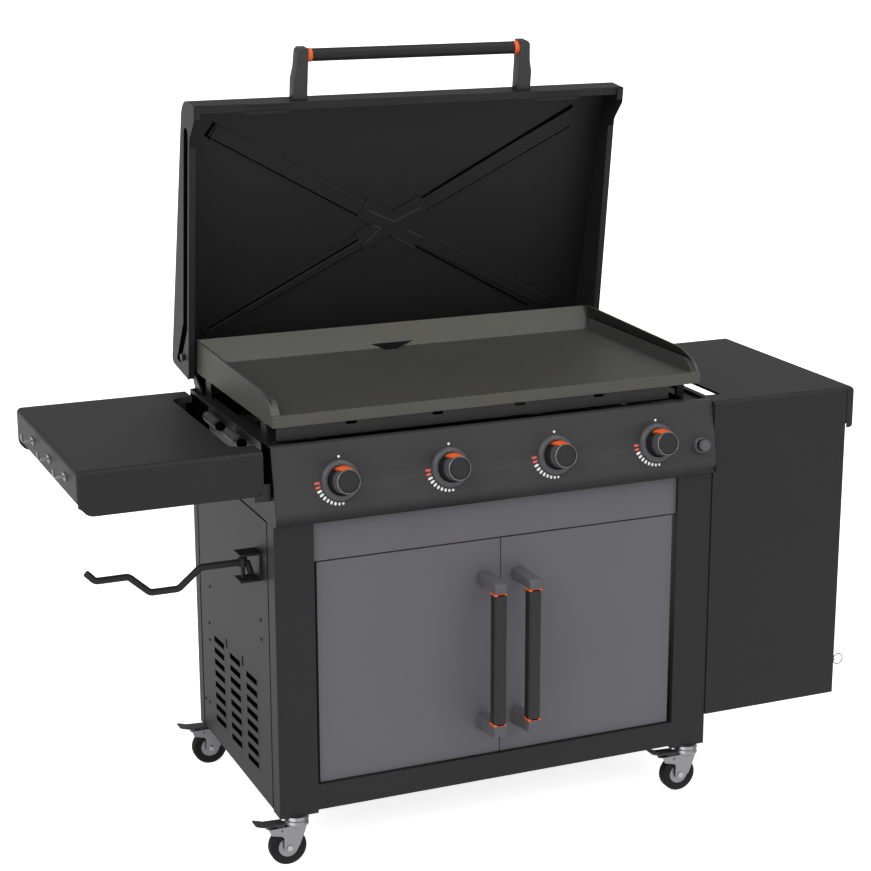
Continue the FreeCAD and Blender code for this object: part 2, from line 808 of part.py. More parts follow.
def igniter_button():
    """The igniter's push button on its plunger."""
    button = turned("button_body", [("0", "-14"), ("5", "-14"), ("5", "5"), ("8.3", "5"),
                                    ("8.3", "18"), ("7", "20"), ("0", "20.6")])
    face_out(button, "igniter_x", "igniter_level")
    node(group("igniter_button_group", button), "igniter_button")


# Griddle

def griddle():
    """The rolled plate: raised side walls with coved roots, a rear splash and a front drop."""
    top, skirt = "griddle_top", "griddle_skirt"
    front, back = "griddle_front", "griddle_back"
    inner = "-griddle_half + plate"
    section = [(front, skirt), (f"{front} + plate", skirt), (f"{front} + plate", f"{top} - plate"),
               ("crease + plate / 2", f"{top} - plate"), (back, "splash_top - 3"),
               (f"{back} - 4", "splash_top"), ("crease", top), (front, top)]
    plate = prism("griddle_rolled", "side", section, "-griddle_half", "griddle_half")
    left = prism("griddle_wall", "side", wall_view(), "-griddle_half", inner)
    corner = [(inner, top), (f"{inner} + cove", top),
              (f"{inner} + cove * 0.293", f"{top} + cove * 0.293", "bow"),
              (inner, f"{top} + cove")]
    root = common("griddle_root", prism("griddle_cove", "front", corner, front, "crease"),
                  prism("griddle_wall_span", "side", wall_view(), inner, f"{inner} + cove"))
    sides = [left, mirrored("griddle_wall_right", left),
             root, mirrored("griddle_root_right", root)]
    grease = prism("grease_hole", "front", [("-78", "915"), ("-33", "895"), ("22", "915")],
                   "crease - 20", "griddle_back + 1")
    node(cut("griddle_plate", fuse("griddle_solid", plate, *sides), grease), "griddle_plate")


def wall_view():
    """The side view of a griddle wall: a quarter sweep up from the front, then a straight run."""
    front = "griddle_front"
    return [(front, "griddle_skirt"), ("griddle_back", "griddle_skirt"),
            ("griddle_back", "splash_top - 3"), ("griddle_back - 4", "splash_top"),
            (f"{front} + 114", "splash_top - 9.4"),
            (f"{front} + 70", "splash_top - 12.6", "bow"),
            (f"{front} + 41", "splash_top - 21"),
            (f"{front} + 12.5", "splash_top - 38", "bow"),
            (front, "splash_top - 59")]


def griddle_fittings():
    """The wind guard under the front edge and the four folded feet."""
    guard = slab("guard_strip", ("guard_left", "guard_right"),
                 ("griddle_front + plate", "griddle_front + plate + wall"),
                 ("guard_foot", "griddle_top - plate"))
    notches = [slab(f"guard_notch_{index}", (f"{across} - 11", f"{across} + 11"),
                    ("griddle_front", "griddle_front + 12"),
                    ("griddle_skirt - 8", "griddle_skirt - 1"))
               for index, across in enumerate((-300, -121, 56, 231))]
    node(cut("wind_guard", guard, *notches), "wind_guard")
    feet = []
    for place_word, face, low, high in (("front", "92", "92", "125"), ("rear", "485", "455", "488")):
        upright = ("deck", "griddle_top - plate")
        plate = slab(f"{place_word}_foot_face", ("-455", "-438"), (face, f"{face} + 3"), upright)
        flange = slab(f"{place_word}_foot_flange", ("-455", "-452"), (low, high), upright)
        foot = fuse(f"{place_word}_foot", plate, flange)
        feet += [foot, mirrored(f"{place_word}_foot_right", foot)]
    node(group("griddle_feet", *feet), "griddle_feet")


def grease_cup():
    """The cup that hangs behind the griddle, and the rail that it slides on."""
    span, back = ("cup_left - 6", "cup_right + 6"), "firebox_back"
    rail_plate = slab("cup_rail_plate", span, (back, f"{back} + wall"),
                      ("cup_low - 12", "cup_high - 4"))
    hook = slab("cup_rail_hook", span, (f"{back} + wall", f"{back} + 10"),
                ("cup_ledge", "cup_ledge + 2"))
    lip = slab("cup_rail_lip", span, (f"{back} + 8", f"{back} + 10"),
               ("cup_ledge + 2", "cup_ledge + 16"))
    node(fuse("cup_rail", rail_plate, hook, lip), "cup_rail")
    block = slab("cup_block", ("cup_left", "cup_right"), ("cup_front", "cup_back"),
                 ("cup_low", "cup_high"))
    hollow = slab("cup_hollow", ("cup_left + wall", "cup_right - wall"),
                  ("cup_front + wall", "cup_back - wall"), ("cup_low + wall", "cup_high + 1"))
    hang = ("cup_left + 24", "cup_right - 24")
    flap = slab("cup_flap", hang, (f"{back} + 5", "cup_front"), ("cup_ledge + 19", "cup_ledge + 21"))
    tongue = slab("cup_tongue", hang, (f"{back} + 5", f"{back} + 7"),
                  ("cup_ledge + 5", "cup_ledge + 19"))
    node(fuse("grease_cup", cut("cup_dish", block, hollow), flap, tongue), "grease_cup")


# Lid

def open_lid(item):
    """Stand a piece drawn closed about the lid's pivot at its open place."""
    item.Placement.Rotation = Rotation(Vector(1, 0, 0), 1)
    bind(item, "Placement.Rotation.Angle", "0 - lid_open")
    place(item, "0", "pivot_y", "pivot_z")
    return item


def lid_crown():
    """The two upper corners of the lid's side view, rear then front."""
    return [("lid_rear", "lid_back_top"), ("lid_front", "lid_front_top")]


def lid_skin():
    """The lid's folded skin with its rear apron, front wall and turned-in front lip."""
    inner = [("lid_rear - wall", "lid_back_top - wall * 1.12"),
             ("lid_front + wall", "lid_front_top - wall * 0.89")]
    corners = [("lid_rear", "15"), *lid_crown(), ("lid_front", "lid_lip"),
               ("lid_front + 16", "lid_lip"), ("lid_front + 16", "lid_lip + wall"),
               ("lid_front + wall", "lid_lip + wall"), inner[1], inner[0],
               ("lid_rear - wall", "15")]
    skin = prism("lid_sheet", "side", corners, "-lid_half + wall", "lid_half - wall")
    soften(skin, "front_bend", "x", [lid_crown()[1]])
    soften(skin, "front_bend - wall", "x", [inner[1]])
    soften(skin, "rear_bend", "x", [lid_crown()[0]])
    soften(skin, "rear_bend - wall", "x", [inner[0]])
    tab = slab("lid_tab", ("-370", "-275"), ("lid_front", "lid_front + wall"),
               ("lid_lip - 6", "lid_lip"))
    return [skin, tab, mirrored("lid_tab_right", tab)]


def brace_rib(name, first, second, wide, deep):
    """A pressed rib of the cross brace, flat on the inside of the skin."""
    fall = number("lid_back_top - lid_front_top")
    slope = math.atan2(fall, number("lid_rear - lid_front"))
    run = Vector(second[0] - first[0], second[1] - first[1], 0)
    rib = DOC.addObject("Part::Box", name)
    rib.Length = run.Length
    rib.Width = wide
    rib.Height = deep
    turn = math.degrees(math.atan2(run.y, run.x))
    tilt = Rotation(Vector(1, 0, 0), math.degrees(slope))
    spin = Rotation(Vector(0, 0, 1), turn)
    corner = Vector(first[0], first[1], -deep) + spin.multVec(Vector(0, -wide / 2, 0))
    behind = 20.0
    level = number("lid_back_top - wall * 0.75") - (number("lid_rear") - behind) * math.tan(slope)
    rib.Placement.Rotation = tilt * spin
    rib.Placement.Base = Vector(0, behind, level) + tilt.multVec(corner)
    return rib


def lid():
    """The lid: skin with cross brace, two shaped cheeks, handle posts and grip."""
    ends = [((-412, -494), (412, -44)), ((-412, -44), (412, -494))]
    ribs = [brace_rib(f"brace_{index}", *pair, 34, 3.5) for index, pair in enumerate(ends)]
    centre = [brace_rib("brace_plate_a", (-72, -308), (72, -230), 46, 4.7),
              brace_rib("brace_plate_b", (-72, -230), (72, -308), 46, 4.7)]
    closed = fuse("lid_closed", *lid_skin(), *ribs, *centre)
    node(open_lid_node("lid_shell", closed), "lid_shell")
    cheek = lid_cheek()
    node(open_lid_node("lid_cheeks", cheek, mirrored("lid_cheek_right", cheek)), "lid_cheeks")
    post = handle_post()
    node(open_lid_node("lid_posts", post, mirrored("post_right", post)), "lid_handle_posts")
    spot = ("-post_inner", "post_tip + 16", "-34.5")
    grip = cut("lid_grip", rod("lid_bar", "across", spot, "grip_radius", "2 * post_inner"),
               rod("lid_bar_bore", "across", spot, "grip_radius - sheet", "2 * post_inner"))
    node(open_lid_node("lid_handle", grip), "lid_handle_grip")


def open_lid_node(name, *pieces):
    """Turn closed pieces of the lid to their open place, each as its own solid."""
    turned_group = group(f"{name}_closed", *pieces)
    open_lid(turned_group)
    return group(name, turned_group)


def groove_view(grow):
    """The side view of a cheek's pressed channel, grown all round by a margin."""
    low, high, tip = f"-25 - {grow}", f"-25 + groove + {grow}", f"21 + {grow}"
    return [("-478", low), (f"-68 + {grow} * 0.3", low), (tip, f"21 - {grow} * 0.4"),
            (tip, f"51 + {grow}"), (f"-75 - {grow} * 0.3", high), ("-478", high),
            (f"-478 - groove / 2 - {grow}", "-25 + groove / 2", "bow")]


def lid_cheek():
    """A cheek: side wall with a stepped front, a pressed channel, a rim lip and the bore."""
    rim, rear, front = "lid_rim", "lid_rear", "lid_front"
    view = [(rear, rim), *lid_crown(), (front, "lid_chin"), (f"{front} + 32", "lid_chin"),
            (f"{front} + 75", rim)]
    plate = prism("cheek_plate", "side", view, "-lid_half", "-lid_half + wall")
    soften(plate, "front_bend", "x", [lid_crown()[1]])
    soften(plate, "rear_bend", "x", [lid_crown()[0]])
    soften(plate, "8", "x", [(f"{front} + 32", "lid_chin")])
    soften(plate, "25", "x", [(f"{front} + 75", rim)])
    channel = prism("cheek_channel", "side", groove_view("0"), "-lid_half - 1", "-lid_half + wall")
    floor = prism("cheek_floor", "side", groove_view("3"), "-lid_half + wall",
                  "-lid_half + 2 * wall")
    lip = slab("cheek_lip", ("-lid_half + wall", "-lid_half + rim_lip"),
               (f"{front} + 90", f"{rear} - 2"), (rim, f"{rim} + wall"))
    nose = slab("cheek_nose", ("-lid_half + wall", "-lid_half + rim_lip"),
                (f"{front} + 2", f"{front} + 26"), ("lid_chin", "lid_chin + wall"))
    bore = rod("cheek_bore", "across", ("-lid_half - 1", "0", "0"), "pin_radius + running",
               "wall + 2")
    pressed = cut("cheek_pressed", plate, channel)
    return cut("lid_cheek", fuse("cheek_whole", pressed, floor, lip, nose), bore)


def handle_post():
    """A handle post on the lid's front wall, waisted towards its tip."""
    front = "lid_front"
    view = [("-post_outer - 7", front), ("-post_inner", front), ("-post_inner", "post_tip"),
            ("-post_outer + 5", "post_tip"), ("-post_outer", "post_tip + 6"),
            ("-post_outer - 2", "post_tip + 40"), ("-post_outer - 7", f"{front} - 40")]
    post = prism("post_left", "plan", view, "-50", "-20")
    return post


def lid_hinges():
    """Hinge plates on the firebox's rear corners with the lid's pivot pins."""
    step, over = "firebox_back - wall - seam", "rim + seam"
    toe = "firebox_back - hinge_foot"
    view = [(toe, "deck"), (step, "deck"), (step, over), ("firebox_back + seam", over),
            ("pivot_y + hinge_eye", "pivot_z - hinge_eye"), ("pivot_y + hinge_eye", "pivot_z"),
            ("pivot_y", "pivot_z + hinge_eye", "bow"), ("pivot_y - hinge_eye", "pivot_z"),
            ("pivot_y - hinge_eye - 8", "pivot_z - 30"), (toe, "deck + 10")]
    inner = "griddle_half + 1"
    plate = prism("hinge_plate", "side", view, f"-({inner}) - 3.5", f"-({inner})")
    pin = rod("hinge_pin", "across", ("-lid_half - 4", "pivot_y", "pivot_z"), "pin_radius",
              "lid_half + 4 - griddle_half - 1")
    head = rod("hinge_head", "across", ("-lid_half - 6", "pivot_y", "pivot_z"), "8", "4")
    left = fuse("hinge_left", plate, pin, head)
    node(group("lid_hinges", left, mirrored("hinge_right", left)), "lid_hinge_brackets")


# Doors

def door(side):
    """One door pan, its handle ends and its grip, drawn on the left and mirrored."""
    pan = slab(f"{side}_pan", ("-door_outer", "-door_gap"), ("recess", "recess + door_deep"),
               ("door_low", "door_high"))
    hollow = slab(f"{side}_hollow", ("-door_outer + sheet", "-door_gap - sheet"),
                  ("recess + sheet", "recess + door_deep + 1"),
                  ("door_low + sheet", "door_high - sheet"))
    bore = rod(f"{side}_bore", "up", ("-door_pivot_x", "door_pivot_y", "door_low - 1"),
               "door_pin + running", "door_high - door_low + 2")
    leaf = cut(f"{side}_leaf", pan, hollow, bore)
    pieces = {"door": leaf, "handle_ends": handle_ends(side), "handle_grip": door_grip(side)}
    for word, piece in pieces.items():
        if side == "right":
            piece = mirrored(f"{side}_{word}", piece)
        node(piece, f"{side}_{word}")


def handle_ends(side):
    """The two brackets that hold a door grip away from the door."""
    face, back = "handle_face", "recess"
    top = [(face, "handle_top - 20.5"), (f"{face} + 28", "handle_top - 20.5"),
           (back, "handle_top - 24"), (back, "handle_top - 1"),
           (f"{face} + 8", "handle_top"), (f"{face} + 2", "handle_top - 2"),
           (face, "handle_top - 6")]
    low = [(f"{face} + 28", "handle_foot + 26"), (face, "handle_foot + 26"),
           (face, "handle_foot + 8"),
           (f"{face} + 4", "handle_foot + 2"), (f"{face} + 12", "handle_foot"),
           (f"{face} + 40", "handle_foot - 3"), (back, "handle_foot - 10"),
           (back, "handle_foot + 20")]
    ends = [prism(f"{side}_end_{index}", "side", view, "-handle_outer", "-handle_inner")
            for index, view in enumerate((top, low))]
    return group(f"{side}_ends", *ends)


def door_grip(side):
    """The upright grip between a door's two handle brackets."""
    low, high = "handle_foot + 26", "handle_top - 20.5"
    view = [("-handle_outer", "handle_face + 4"), ("-handle_outer + 4", "handle_face"),
            ("-handle_inner - 4", "handle_face"), ("-handle_inner", "handle_face + 4"),
            ("-handle_inner", "handle_face + 22"), ("-handle_inner - 4", "handle_face + 26"),
            ("-handle_outer + 4", "handle_face + 26"), ("-handle_outer", "handle_face + 22")]
    return prism(f"{side}_grip", "plan", view, low, high)


def door_pins():
    """Pivot pins between the doors and the header and beam."""
    top = rod("door_pin_top", "up", ("-door_pivot_x", "door_pivot_y", "door_high - 12"),
              "door_pin", "header_low - door_high + 12")
    low = rod("door_pin_low", "up", ("-door_pivot_x", "door_pivot_y", "beam_high"),
              "door_pin", "door_low - beam_high + 12")
    pins = [top, low, mirrored("door_pin_top_right", top), mirrored("door_pin_low_right", low)]
    node(group("door_pins", *pins), "door_hinge_pins")


# Right shelf and tank cover

def shelf_block(name, inset):
    """The fixed shelf's outer form, or the hollow under it when inset by the sheet."""
    left, right = f"half + {inset}", f"right_end - {inset}"
    front, back = f"shelf_front + {inset}", f"shelf_back - {inset}"
    top, foot = f"shelf_top - {inset}", f"shelf_top - shelf_skirt - {inset}"
    corners = [(left, foot), (right, foot), (right, top), (left, top)]
    block = prism(name, "front", corners, front, back)
    soften(block, f"shelf_bend - {inset}", "y", [(right, top)])
    soften(block, f"shelf_bend - {inset}", "x", [(front, top)])
    return block


def right_shelf():
    """The fixed shelf with its slotted top and the long cover folded down in front."""
    left, right = "half", "right_end"
    front, top = "shelf_front", "shelf_top"
    foot = f"{top} - shelf_skirt"
    tray = cut("right_tray", shelf_block("right_block", "0"), shelf_block("right_under", "sheet"))
    seam = f"{foot} + 1"
    cover = slab("cover_front", (left, "cover_edge"), (front, f"{front} + sheet"),
                 ("cover_foot", seam))
    deep = (f"{front} + sheet", f"{front} + return_depth")
    returns = [slab("cover_left", (left, f"{left} + sheet"), deep, ("cover_foot", seam)),
               slab("cover_right", ("cover_edge - sheet", "cover_edge"), deep,
                    ("cover_foot", f"{top} - 10")),
               slab("cover_low", (left, "cover_edge"), deep, ("cover_foot", "cover_foot + sheet"))]
    slot = slab("right_slot", (f"{left} + 13", f"{left} + 37"), ("slot_front", "slot_back"),
                (f"{top} - sheet - 1", f"{top} + 1"))
    slit = slab("right_slit", ("cover_edge", "cover_edge + 2.5"), (f"{front} - 1", f"{front} + 4"),
                (f"{foot} - 1", f"{top} - 4"))
    nook = slab("right_nook", (f"{right} - flap_round", f"{right} + 1"),
                (f"{front} - 1", f"{front} + shelf_bend"), (f"{foot} - 1", f"{foot} + flap_round"))
    round_end = rod("right_flap", "along",
                    (f"{right} - flap_round", f"{front} - 2", f"{foot} + flap_round"),
                    "flap_round", "shelf_bend + 4")
    corner = cut("right_corner", nook, round_end)
    eye = rod("latch_eye", "across", ("cover_edge - sheet - 1", "latch_y", "latch_z"),
              "3 + running", "sheet + 2")
    shell = fuse("right_shell", tray, cover, *returns)
    node(cut("right_shelf", shell, slot, slit, corner, eye), "right_shelf")
    span, level = ("tank_middle - 65", "tank_middle + 65"), "tank_level"
    ledge = slab("tank_ledge", (f"{left} + wall", f"{left} + 90"), span, (f"{level} - 3", level))
    wing = slab("tank_wing", (left, f"{left} + wall"), span, (f"{level} - 43", level))
    mouth = slab("tank_mouth", (f"{left} + 40", f"{left} + 91"),
                 ("tank_middle - 15", "tank_middle + 15"), (f"{level} - 4", f"{level} + 1"))
    node(cut("tank_bracket", fuse("tank_solid", ledge, wing), mouth), "tank_bracket")


def latch():
    """The spring latch at the cover's free edge and the ring that pulls it."""
    pin = rod("latch_rod", "across", ("cover_edge - 14", "latch_y", "latch_z"), "3", "21")
    stop = rod("latch_stop", "across", ("cover_edge - 14", "latch_y", "latch_z"), "5", "2")
    hole = rod("latch_eyelet", "up", ("cover_edge + latch_hole", "latch_y", "latch_z - 4"),
               "1.6", "8")
    node(cut("latch_pin", fuse("latch_body", pin, stop), hole), "latch_pin")
    thick = "ring_wire"
    section = [(f"ring_radius - {thick}", "0"), (f"ring_radius - {thick} / 2", f"{thick} * 0.87"),
               (f"ring_radius + {thick} / 2", f"{thick} * 0.87"), (f"ring_radius + {thick}", "0"),
               (f"ring_radius + {thick} / 2", f"-{thick} * 0.87"),
               (f"ring_radius - {thick} / 2", f"-{thick} * 0.87")]
    ring = turned("ring_body", section)
    ring.Placement.Rotation = TURNS["along"]
    place(ring, "cover_edge + latch_hole + ring_radius", "latch_y", "latch_z")
    node(group("ring", ring), "pull_ring")


# Left folding shelf

def notch_cutter(name, grow, low):
    """The form of the notch beside the firebox, grown by a margin and down to a level."""
    side, inner = f"notch - {grow}", "left_inner + 1"
    near_end, far_end = f"56 - {grow}", f"slot_back + {grow}"
    corners = [(side, near_end), (inner, near_end), (inner, far_end), (side, far_end)]
    body = prism(name, "plan", corners, low, f"shelf_top + 1 - {grow}")
    return soften(body, f"notch_bend + {grow}", "z", [(side, near_end), (side, far_end)])


def left_shelf():
    """The folding shelf: a pan turned down on three sides, notched beside the firebox."""
    outer, inner = "left_end", "left_inner"
    front, back, top = "left_front", "left_back", "shelf_top"
    foot = f"{top} - left_skirt"
    skirt = [(outer, top), (outer, foot), (inner, foot), (inner, top)]
    block = prism("left_block", "front", skirt, front, back)
    soften(block, "30", "y", [(outer, foot)])
    soften(block, "shelf_bend", "y", [(outer, top)])
    soften(block, "shelf_bend", "x", [(front, top)])
    room = [(f"{outer} + sheet", f"{top} - sheet"), (f"{outer} + sheet", f"{foot} - 1"),
            (f"{inner} + 1", f"{foot} - 1"), (f"{inner} + 1", f"{top} - sheet")]
    under = prism("left_under", "front", room, f"{front} + sheet", f"{back} - sheet")
    soften(under, "shelf_bend - sheet", "y", [(f"{outer} + sheet", f"{top} - sheet")])
    soften(under, "shelf_bend - sheet", "x", [(f"{front} + sheet", f"{top} - sheet")])
    low_end = slab("left_low_end", (f"{outer} - 1", f"{outer} + sheet + 0.2"),
                   (f"{front} + sheet", f"{back} - sheet"), (f"{foot} - 1", f"{foot} + 30"))
    pan = cut("left_pan", block, under, low_end)
    lip = cut("left_notch_lip", notch_cutter("left_lip_outside", "sheet", f"{top} - notch_lip"),
              slab("left_lip_trim", (inner, f"{inner} + 2"), ("0", "slot_back + 60"),
                   (f"{top} - notch_lip - 1", f"{top} + 1")))
    bore = rod("left_fold_bore", "along", ("fold_x", f"{front} - 1", "fold_z"),
               "fold_pin + running", "left_back - left_front + 2")
    opening = notch_cutter("left_notch", "0", f"{top} - notch_lip - 1")
    node(cut("left_shelf", fuse("left_shell", pan, lip), opening, bore), "left_shelf")
    hooks = []
    for index, along in enumerate(("101", "234", "375")):
        base = slab(f"hook_base_{index}", (f"{outer} - 2", outer), (f"{along} - 13", f"{along} + 13"),
                    ("hook_level - 6.5", "hook_level + 6.5"))
        tip = f"{outer} - 21.5"
        line = [(f"{outer} - 1", "hook_level"), (tip, "hook_level"), (tip, "hook_level + 16.5")]
        wire = bent_wire(f"hook_wire_{index}", along, line, "6", "2.5")
        hooks.append(fuse(f"hook_{index}", base, wire))
    node(group("hooks", *hooks), "tool_hooks")


def shelf_brackets():
    """Pivot plates with the folding shelf's pins, and the two latch barrels above them."""
    front, back = "left_front", "left_back"
    plates = []
    for index, (low, pin) in enumerate(((f"{front} + sheet + 1", f"{front} - 3"),
                                        (f"{back} - sheet - 4", f"{back} - sheet - 2"))):
        plate = slab(f"pivot_plate_{index}", ("fold_x - 12", "-half"), (low, f"{low} + 3"),
                     ("fold_z - 12", "fold_z + 22"))
        shaft = rod(f"pivot_pin_{index}", "along", ("fold_x", pin, "fold_z"), "fold_pin", "7")
        plates.append(fuse(f"pivot_{index}", plate, shaft))
    middle, level, size = "-half - barrel_out", "barrel_level", "barrel_radius"
    for index, along in enumerate((151, 290)):
        barrel = rod(f"latch_barrel_{index}", "along", (middle, along, level), size, "84")
        collar = rod(f"latch_collar_{index}", "along", (middle, f"{along} - 3", level),
                     f"{size} + 1.5", "7")
        strap = rod(f"latch_strap_{index}", "along", (middle, f"{along} + 30", level),
                    f"{size} + 1.2", "24")
        web = slab(f"latch_web_{index}", (middle, "-half"), (f"{along} + 10", f"{along} + 74"),
                   (f"{level} - wall", f"{level} + wall"))
        plates.append(fuse(f"latch_{index}", barrel, collar, strap, web))
    node(group("shelf_mounts", *plates), "shelf_brackets")


# Swing arm

def arm_bracket():
    """The C-shaped bracket on the side panel with the arm's upright pin."""
    view = [("-half", "arm_low"), ("-half", "arm_high"), ("-half - 43", "arm_high"),
            ("-half - 43", "arm_high - 4"), ("-half - 4", "arm_high - 4"),
            ("-half - 4", "arm_low + 4"), ("-half - 43", "arm_low + 4"),
            ("-half - 43", "arm_low")]
    bracket = prism("arm_channel", "front", view, "arm_y - 20", "arm_y + 20")
    pin = rod("arm_pin", "up", ("arm_x", "arm_y", "arm_low + 1"), "stem_radius",
              "arm_high - arm_low - 2")
    node(fuse("arm_mount", bracket, pin), "arm_bracket")


def swing_arm():
    """The bent rod that swings on the bracket's pin."""
    line = [("arm_x - 6", "arm_level"), ("-592", "arm_level"), ("-636", "arm_level - 37"),
            ("-692", "arm_level - 37"), ("-733", "arm_level"), ("-797", "arm_level"),
            ("-814", "arm_level + 18")]
    wire = bent_wire("arm_wire", "arm_y", line, "arm_bend", "arm_rod")
    eye = rod("arm_eye", "up", ("arm_x", "arm_y", "arm_low + 6"), "9", "46")
    bore = rod("arm_bore", "up", ("arm_x", "arm_y", "arm_low"), "stem_radius + running", "60")
    node(cut("arm", fuse("arm_solid", wire, eye), bore), "swing_arm")


# Casters

CORNERS = {
    "front_left": ("-caster_x", "caster_front"),
    "front_right": ("caster_x", "caster_front"),
    "rear_left": ("-caster_x", "caster_rear"),
    "rear_right": ("caster_x", "caster_rear"),
}


def caster_mounts():
    """Flanged king pins under the legs, one for each caster."""
    mounts = []
    for word, (across, along) in CORNERS.items():
        flange = turned(f"{word}_flange", [("0", "leg_foot - 7.5"), ("cup_radius - 1", "leg_foot - 7.5"),
                                           ("cup_radius + 0.5", "leg_foot - 5"),
                                           ("cup_radius - 3", "leg_foot"), ("0", "leg_foot")])
        place(flange, across, along, "0")
        king = rod(f"{word}_king", "up", (across, along, "fork_top - 2"), "king_radius",
                   "leg_foot - fork_top")
        mounts.append(fuse(f"{word}_mount", flange, king))
    node(group("caster_kings", *mounts), "caster_mounts")


def fork_plan(hub, along):
    """The yoke seen from above: two cheeks that draw in and join ahead of the wheel."""
    outside = [(f"{hub} - 42", "fork_half"), (f"{hub} + 11", "fork_half"),
               (f"{hub} + 36", "fork_half - fork_gauge")]
    inside = [(f"{hub} + 36 - fork_gauge", "fork_half - 2 * fork_gauge + 0.3"),
              (f"{hub} + 10", "fork_half - fork_gauge"), (f"{hub} - 42", "fork_half - fork_gauge")]
    far = [(across, f"{along} + {deep}") for across, deep in outside]
    near_side = [(across, f"{along} - ({deep})") for across, deep in reversed(outside)]
    near_back = [(across, f"{along} - ({deep})") for across, deep in reversed(inside)]
    far_back = [(across, f"{along} + {deep}") for across, deep in inside]
    return far + near_side + near_back + far_back


def fork_view(hub):
    """The yoke seen from the side: a leg over the hub, an arm behind and a sloping web ahead."""
    return [(f"{hub} - 42", "fork_top"), (f"{hub} - 37", "70"), (f"{hub} - 15", "64.5"),
            (f"{hub} - 10.8", "60"), (f"{hub} - 10.8", "wheel_radius"),
            (f"{hub} - 7.6", "wheel_radius - 7.6", "bow"), (hub, "wheel_radius - 10.8"),
            (f"{hub} + 8", "wheel_radius - 10"), (f"{hub} + 21", "39"), (f"{hub} + 30", "60"),
            (f"{hub} + 36", "76"), (f"{hub} + 36", "fork_top")]


def caster_fork(word, across, along):
    """The yoke with its swivel cup, axle and the hollow rivet that the pedal turns on."""
    hub = f"{across} - trail"
    yoke = common(f"{word}_yoke", prism(f"{word}_plan", "plan", fork_plan(hub, along),
                                        "wheel_radius - 12", "fork_top"),
                  prism(f"{word}_view", "front", fork_view(hub), f"{along} - 20", f"{along} + 20"))
    roof = slab(f"{word}_roof", (f"{across} - 22", f"{hub} + 35"),
                (f"{along} - fork_half + 1.5", f"{along} + fork_half - 1.5"),
                ("fork_top - 3", "fork_top"))
    cup = turned(f"{word}_cup", [("0", "fork_top - 3"), ("cup_radius - 2.5", "fork_top - 3"),
                                 ("cup_radius", "fork_top - 1"), ("cup_radius", "fork_top + 3.5"),
                                 ("cup_radius - 2.5", "fork_top + 8"), ("0", "fork_top + 8")])
    place(cup, across, along, "0")
    axle = rod(f"{word}_axle", "along", (hub, f"{along} - fork_half - 1", "wheel_radius"),
               "axle_radius", "2 * fork_half + 2")
    heads = [rod(f"{word}_axle_head_{index}", "along", (hub, start, "wheel_radius"), "6", "2.5")
             for index, start in enumerate((f"{along} - fork_half - 2.5", f"{along} + fork_half"))]
    rivet_at = (f"{hub} - rivet_back", f"{along} - fork_half - 0.8", "rivet_z")
    rivet = rod(f"{word}_rivet", "along", rivet_at, "rivet_radius", "2 * fork_half + 1.6")
    hollow = rod(f"{word}_rivet_hollow", "along", (rivet_at[0], f"{along} - 20", "rivet_z"),
                 "rivet_radius / 2", "40")
    bore = rod(f"{word}_king_bore", "up", (across, along, "fork_top - 4"),
               "king_radius + running", "13")
    solid = fuse(f"{word}_fork_solid", yoke, roof, cup, axle, rivet, *heads)
    node(cut(f"{word}_fork", solid, bore, hollow), f"{word}_caster_fork")


def brake_pedal(word, across, along):
    """The pedal: a wide pad, a strap between the cheeks and two ears on the rivet."""
    hub = f"{across} - trail"
    strap_half = "fork_half - fork_gauge - 0.4"
    tip, neck, end = f"{hub} - 68", f"{hub} - 48", f"{hub} - 8"
    low, high = f"{along} - pedal_half", f"{along} + pedal_half"
    pad = prism(f"{word}_pad", "front", [(tip, "94"), (tip, "96.4"), (neck, "90.6"), (neck, "88.2")],
                low, high)
    soften(pad, "5", "z", [(tip, low), (tip, high)])
    strap = prism(f"{word}_strap", "front", [(f"{neck} - 0.5", "88.2"), (f"{neck} - 0.5", "90.6"),
                                             (end, "88.5"), (end, "86.3")],
                  f"{along} - ({strap_half})", f"{along} + {strap_half}")
    rivet = f"{hub} - rivet_back"
    ear_view = [(f"{rivet} - 12", "88"), (f"{rivet} - 5.5", "rivet_z"),
                (rivet, "rivet_z - 5.5", "bow"), (f"{rivet} + 5.5", "rivet_z"),
                (f"{rivet} + 7", "88")]
    ears = [prism(f"{word}_ear_{index}", "front", ear_view, near_face, f"{near_face} + 1.8")
            for index, near_face in enumerate((f"{along} - ({strap_half})",
                                               f"{along} + {strap_half} - 1.8"))]
    eye = rod(f"{word}_pedal_eye", "along", (rivet, f"{along} - 20", "rivet_z"),
              "rivet_radius + running", "40")
    solid = fuse(f"{word}_pedal_solid", pad, strap, *ears)
    node(cut(f"{word}_pedal", solid, eye), f"{word}_brake_pedal")


def wheel(word, across, along):
    """A caster wheel: rubber tyre round a flat hub disc, turned about its axle."""
    half = [("axle_radius + running", "wheel_half + 0.5"), ("hub_radius", "wheel_half - 2"),
            ("disc_radius", "wheel_half - 2"), ("disc_radius + 1", "wheel_half"),
            ("wheel_radius - 3.5", "wheel_half"), ("wheel_radius", "wheel_half - 2.5")]
    corners = [(out, f"-({level})") for out, level in half] + list(reversed(half))
    body = turned(f"{word}_wheel_body", corners)
    body.Placement.Rotation = TURNS["along"]
    place(body, f"{across} - trail", along, "wheel_radius")
    node(group(f"{word}_wheel", body), f"{word}_wheel")


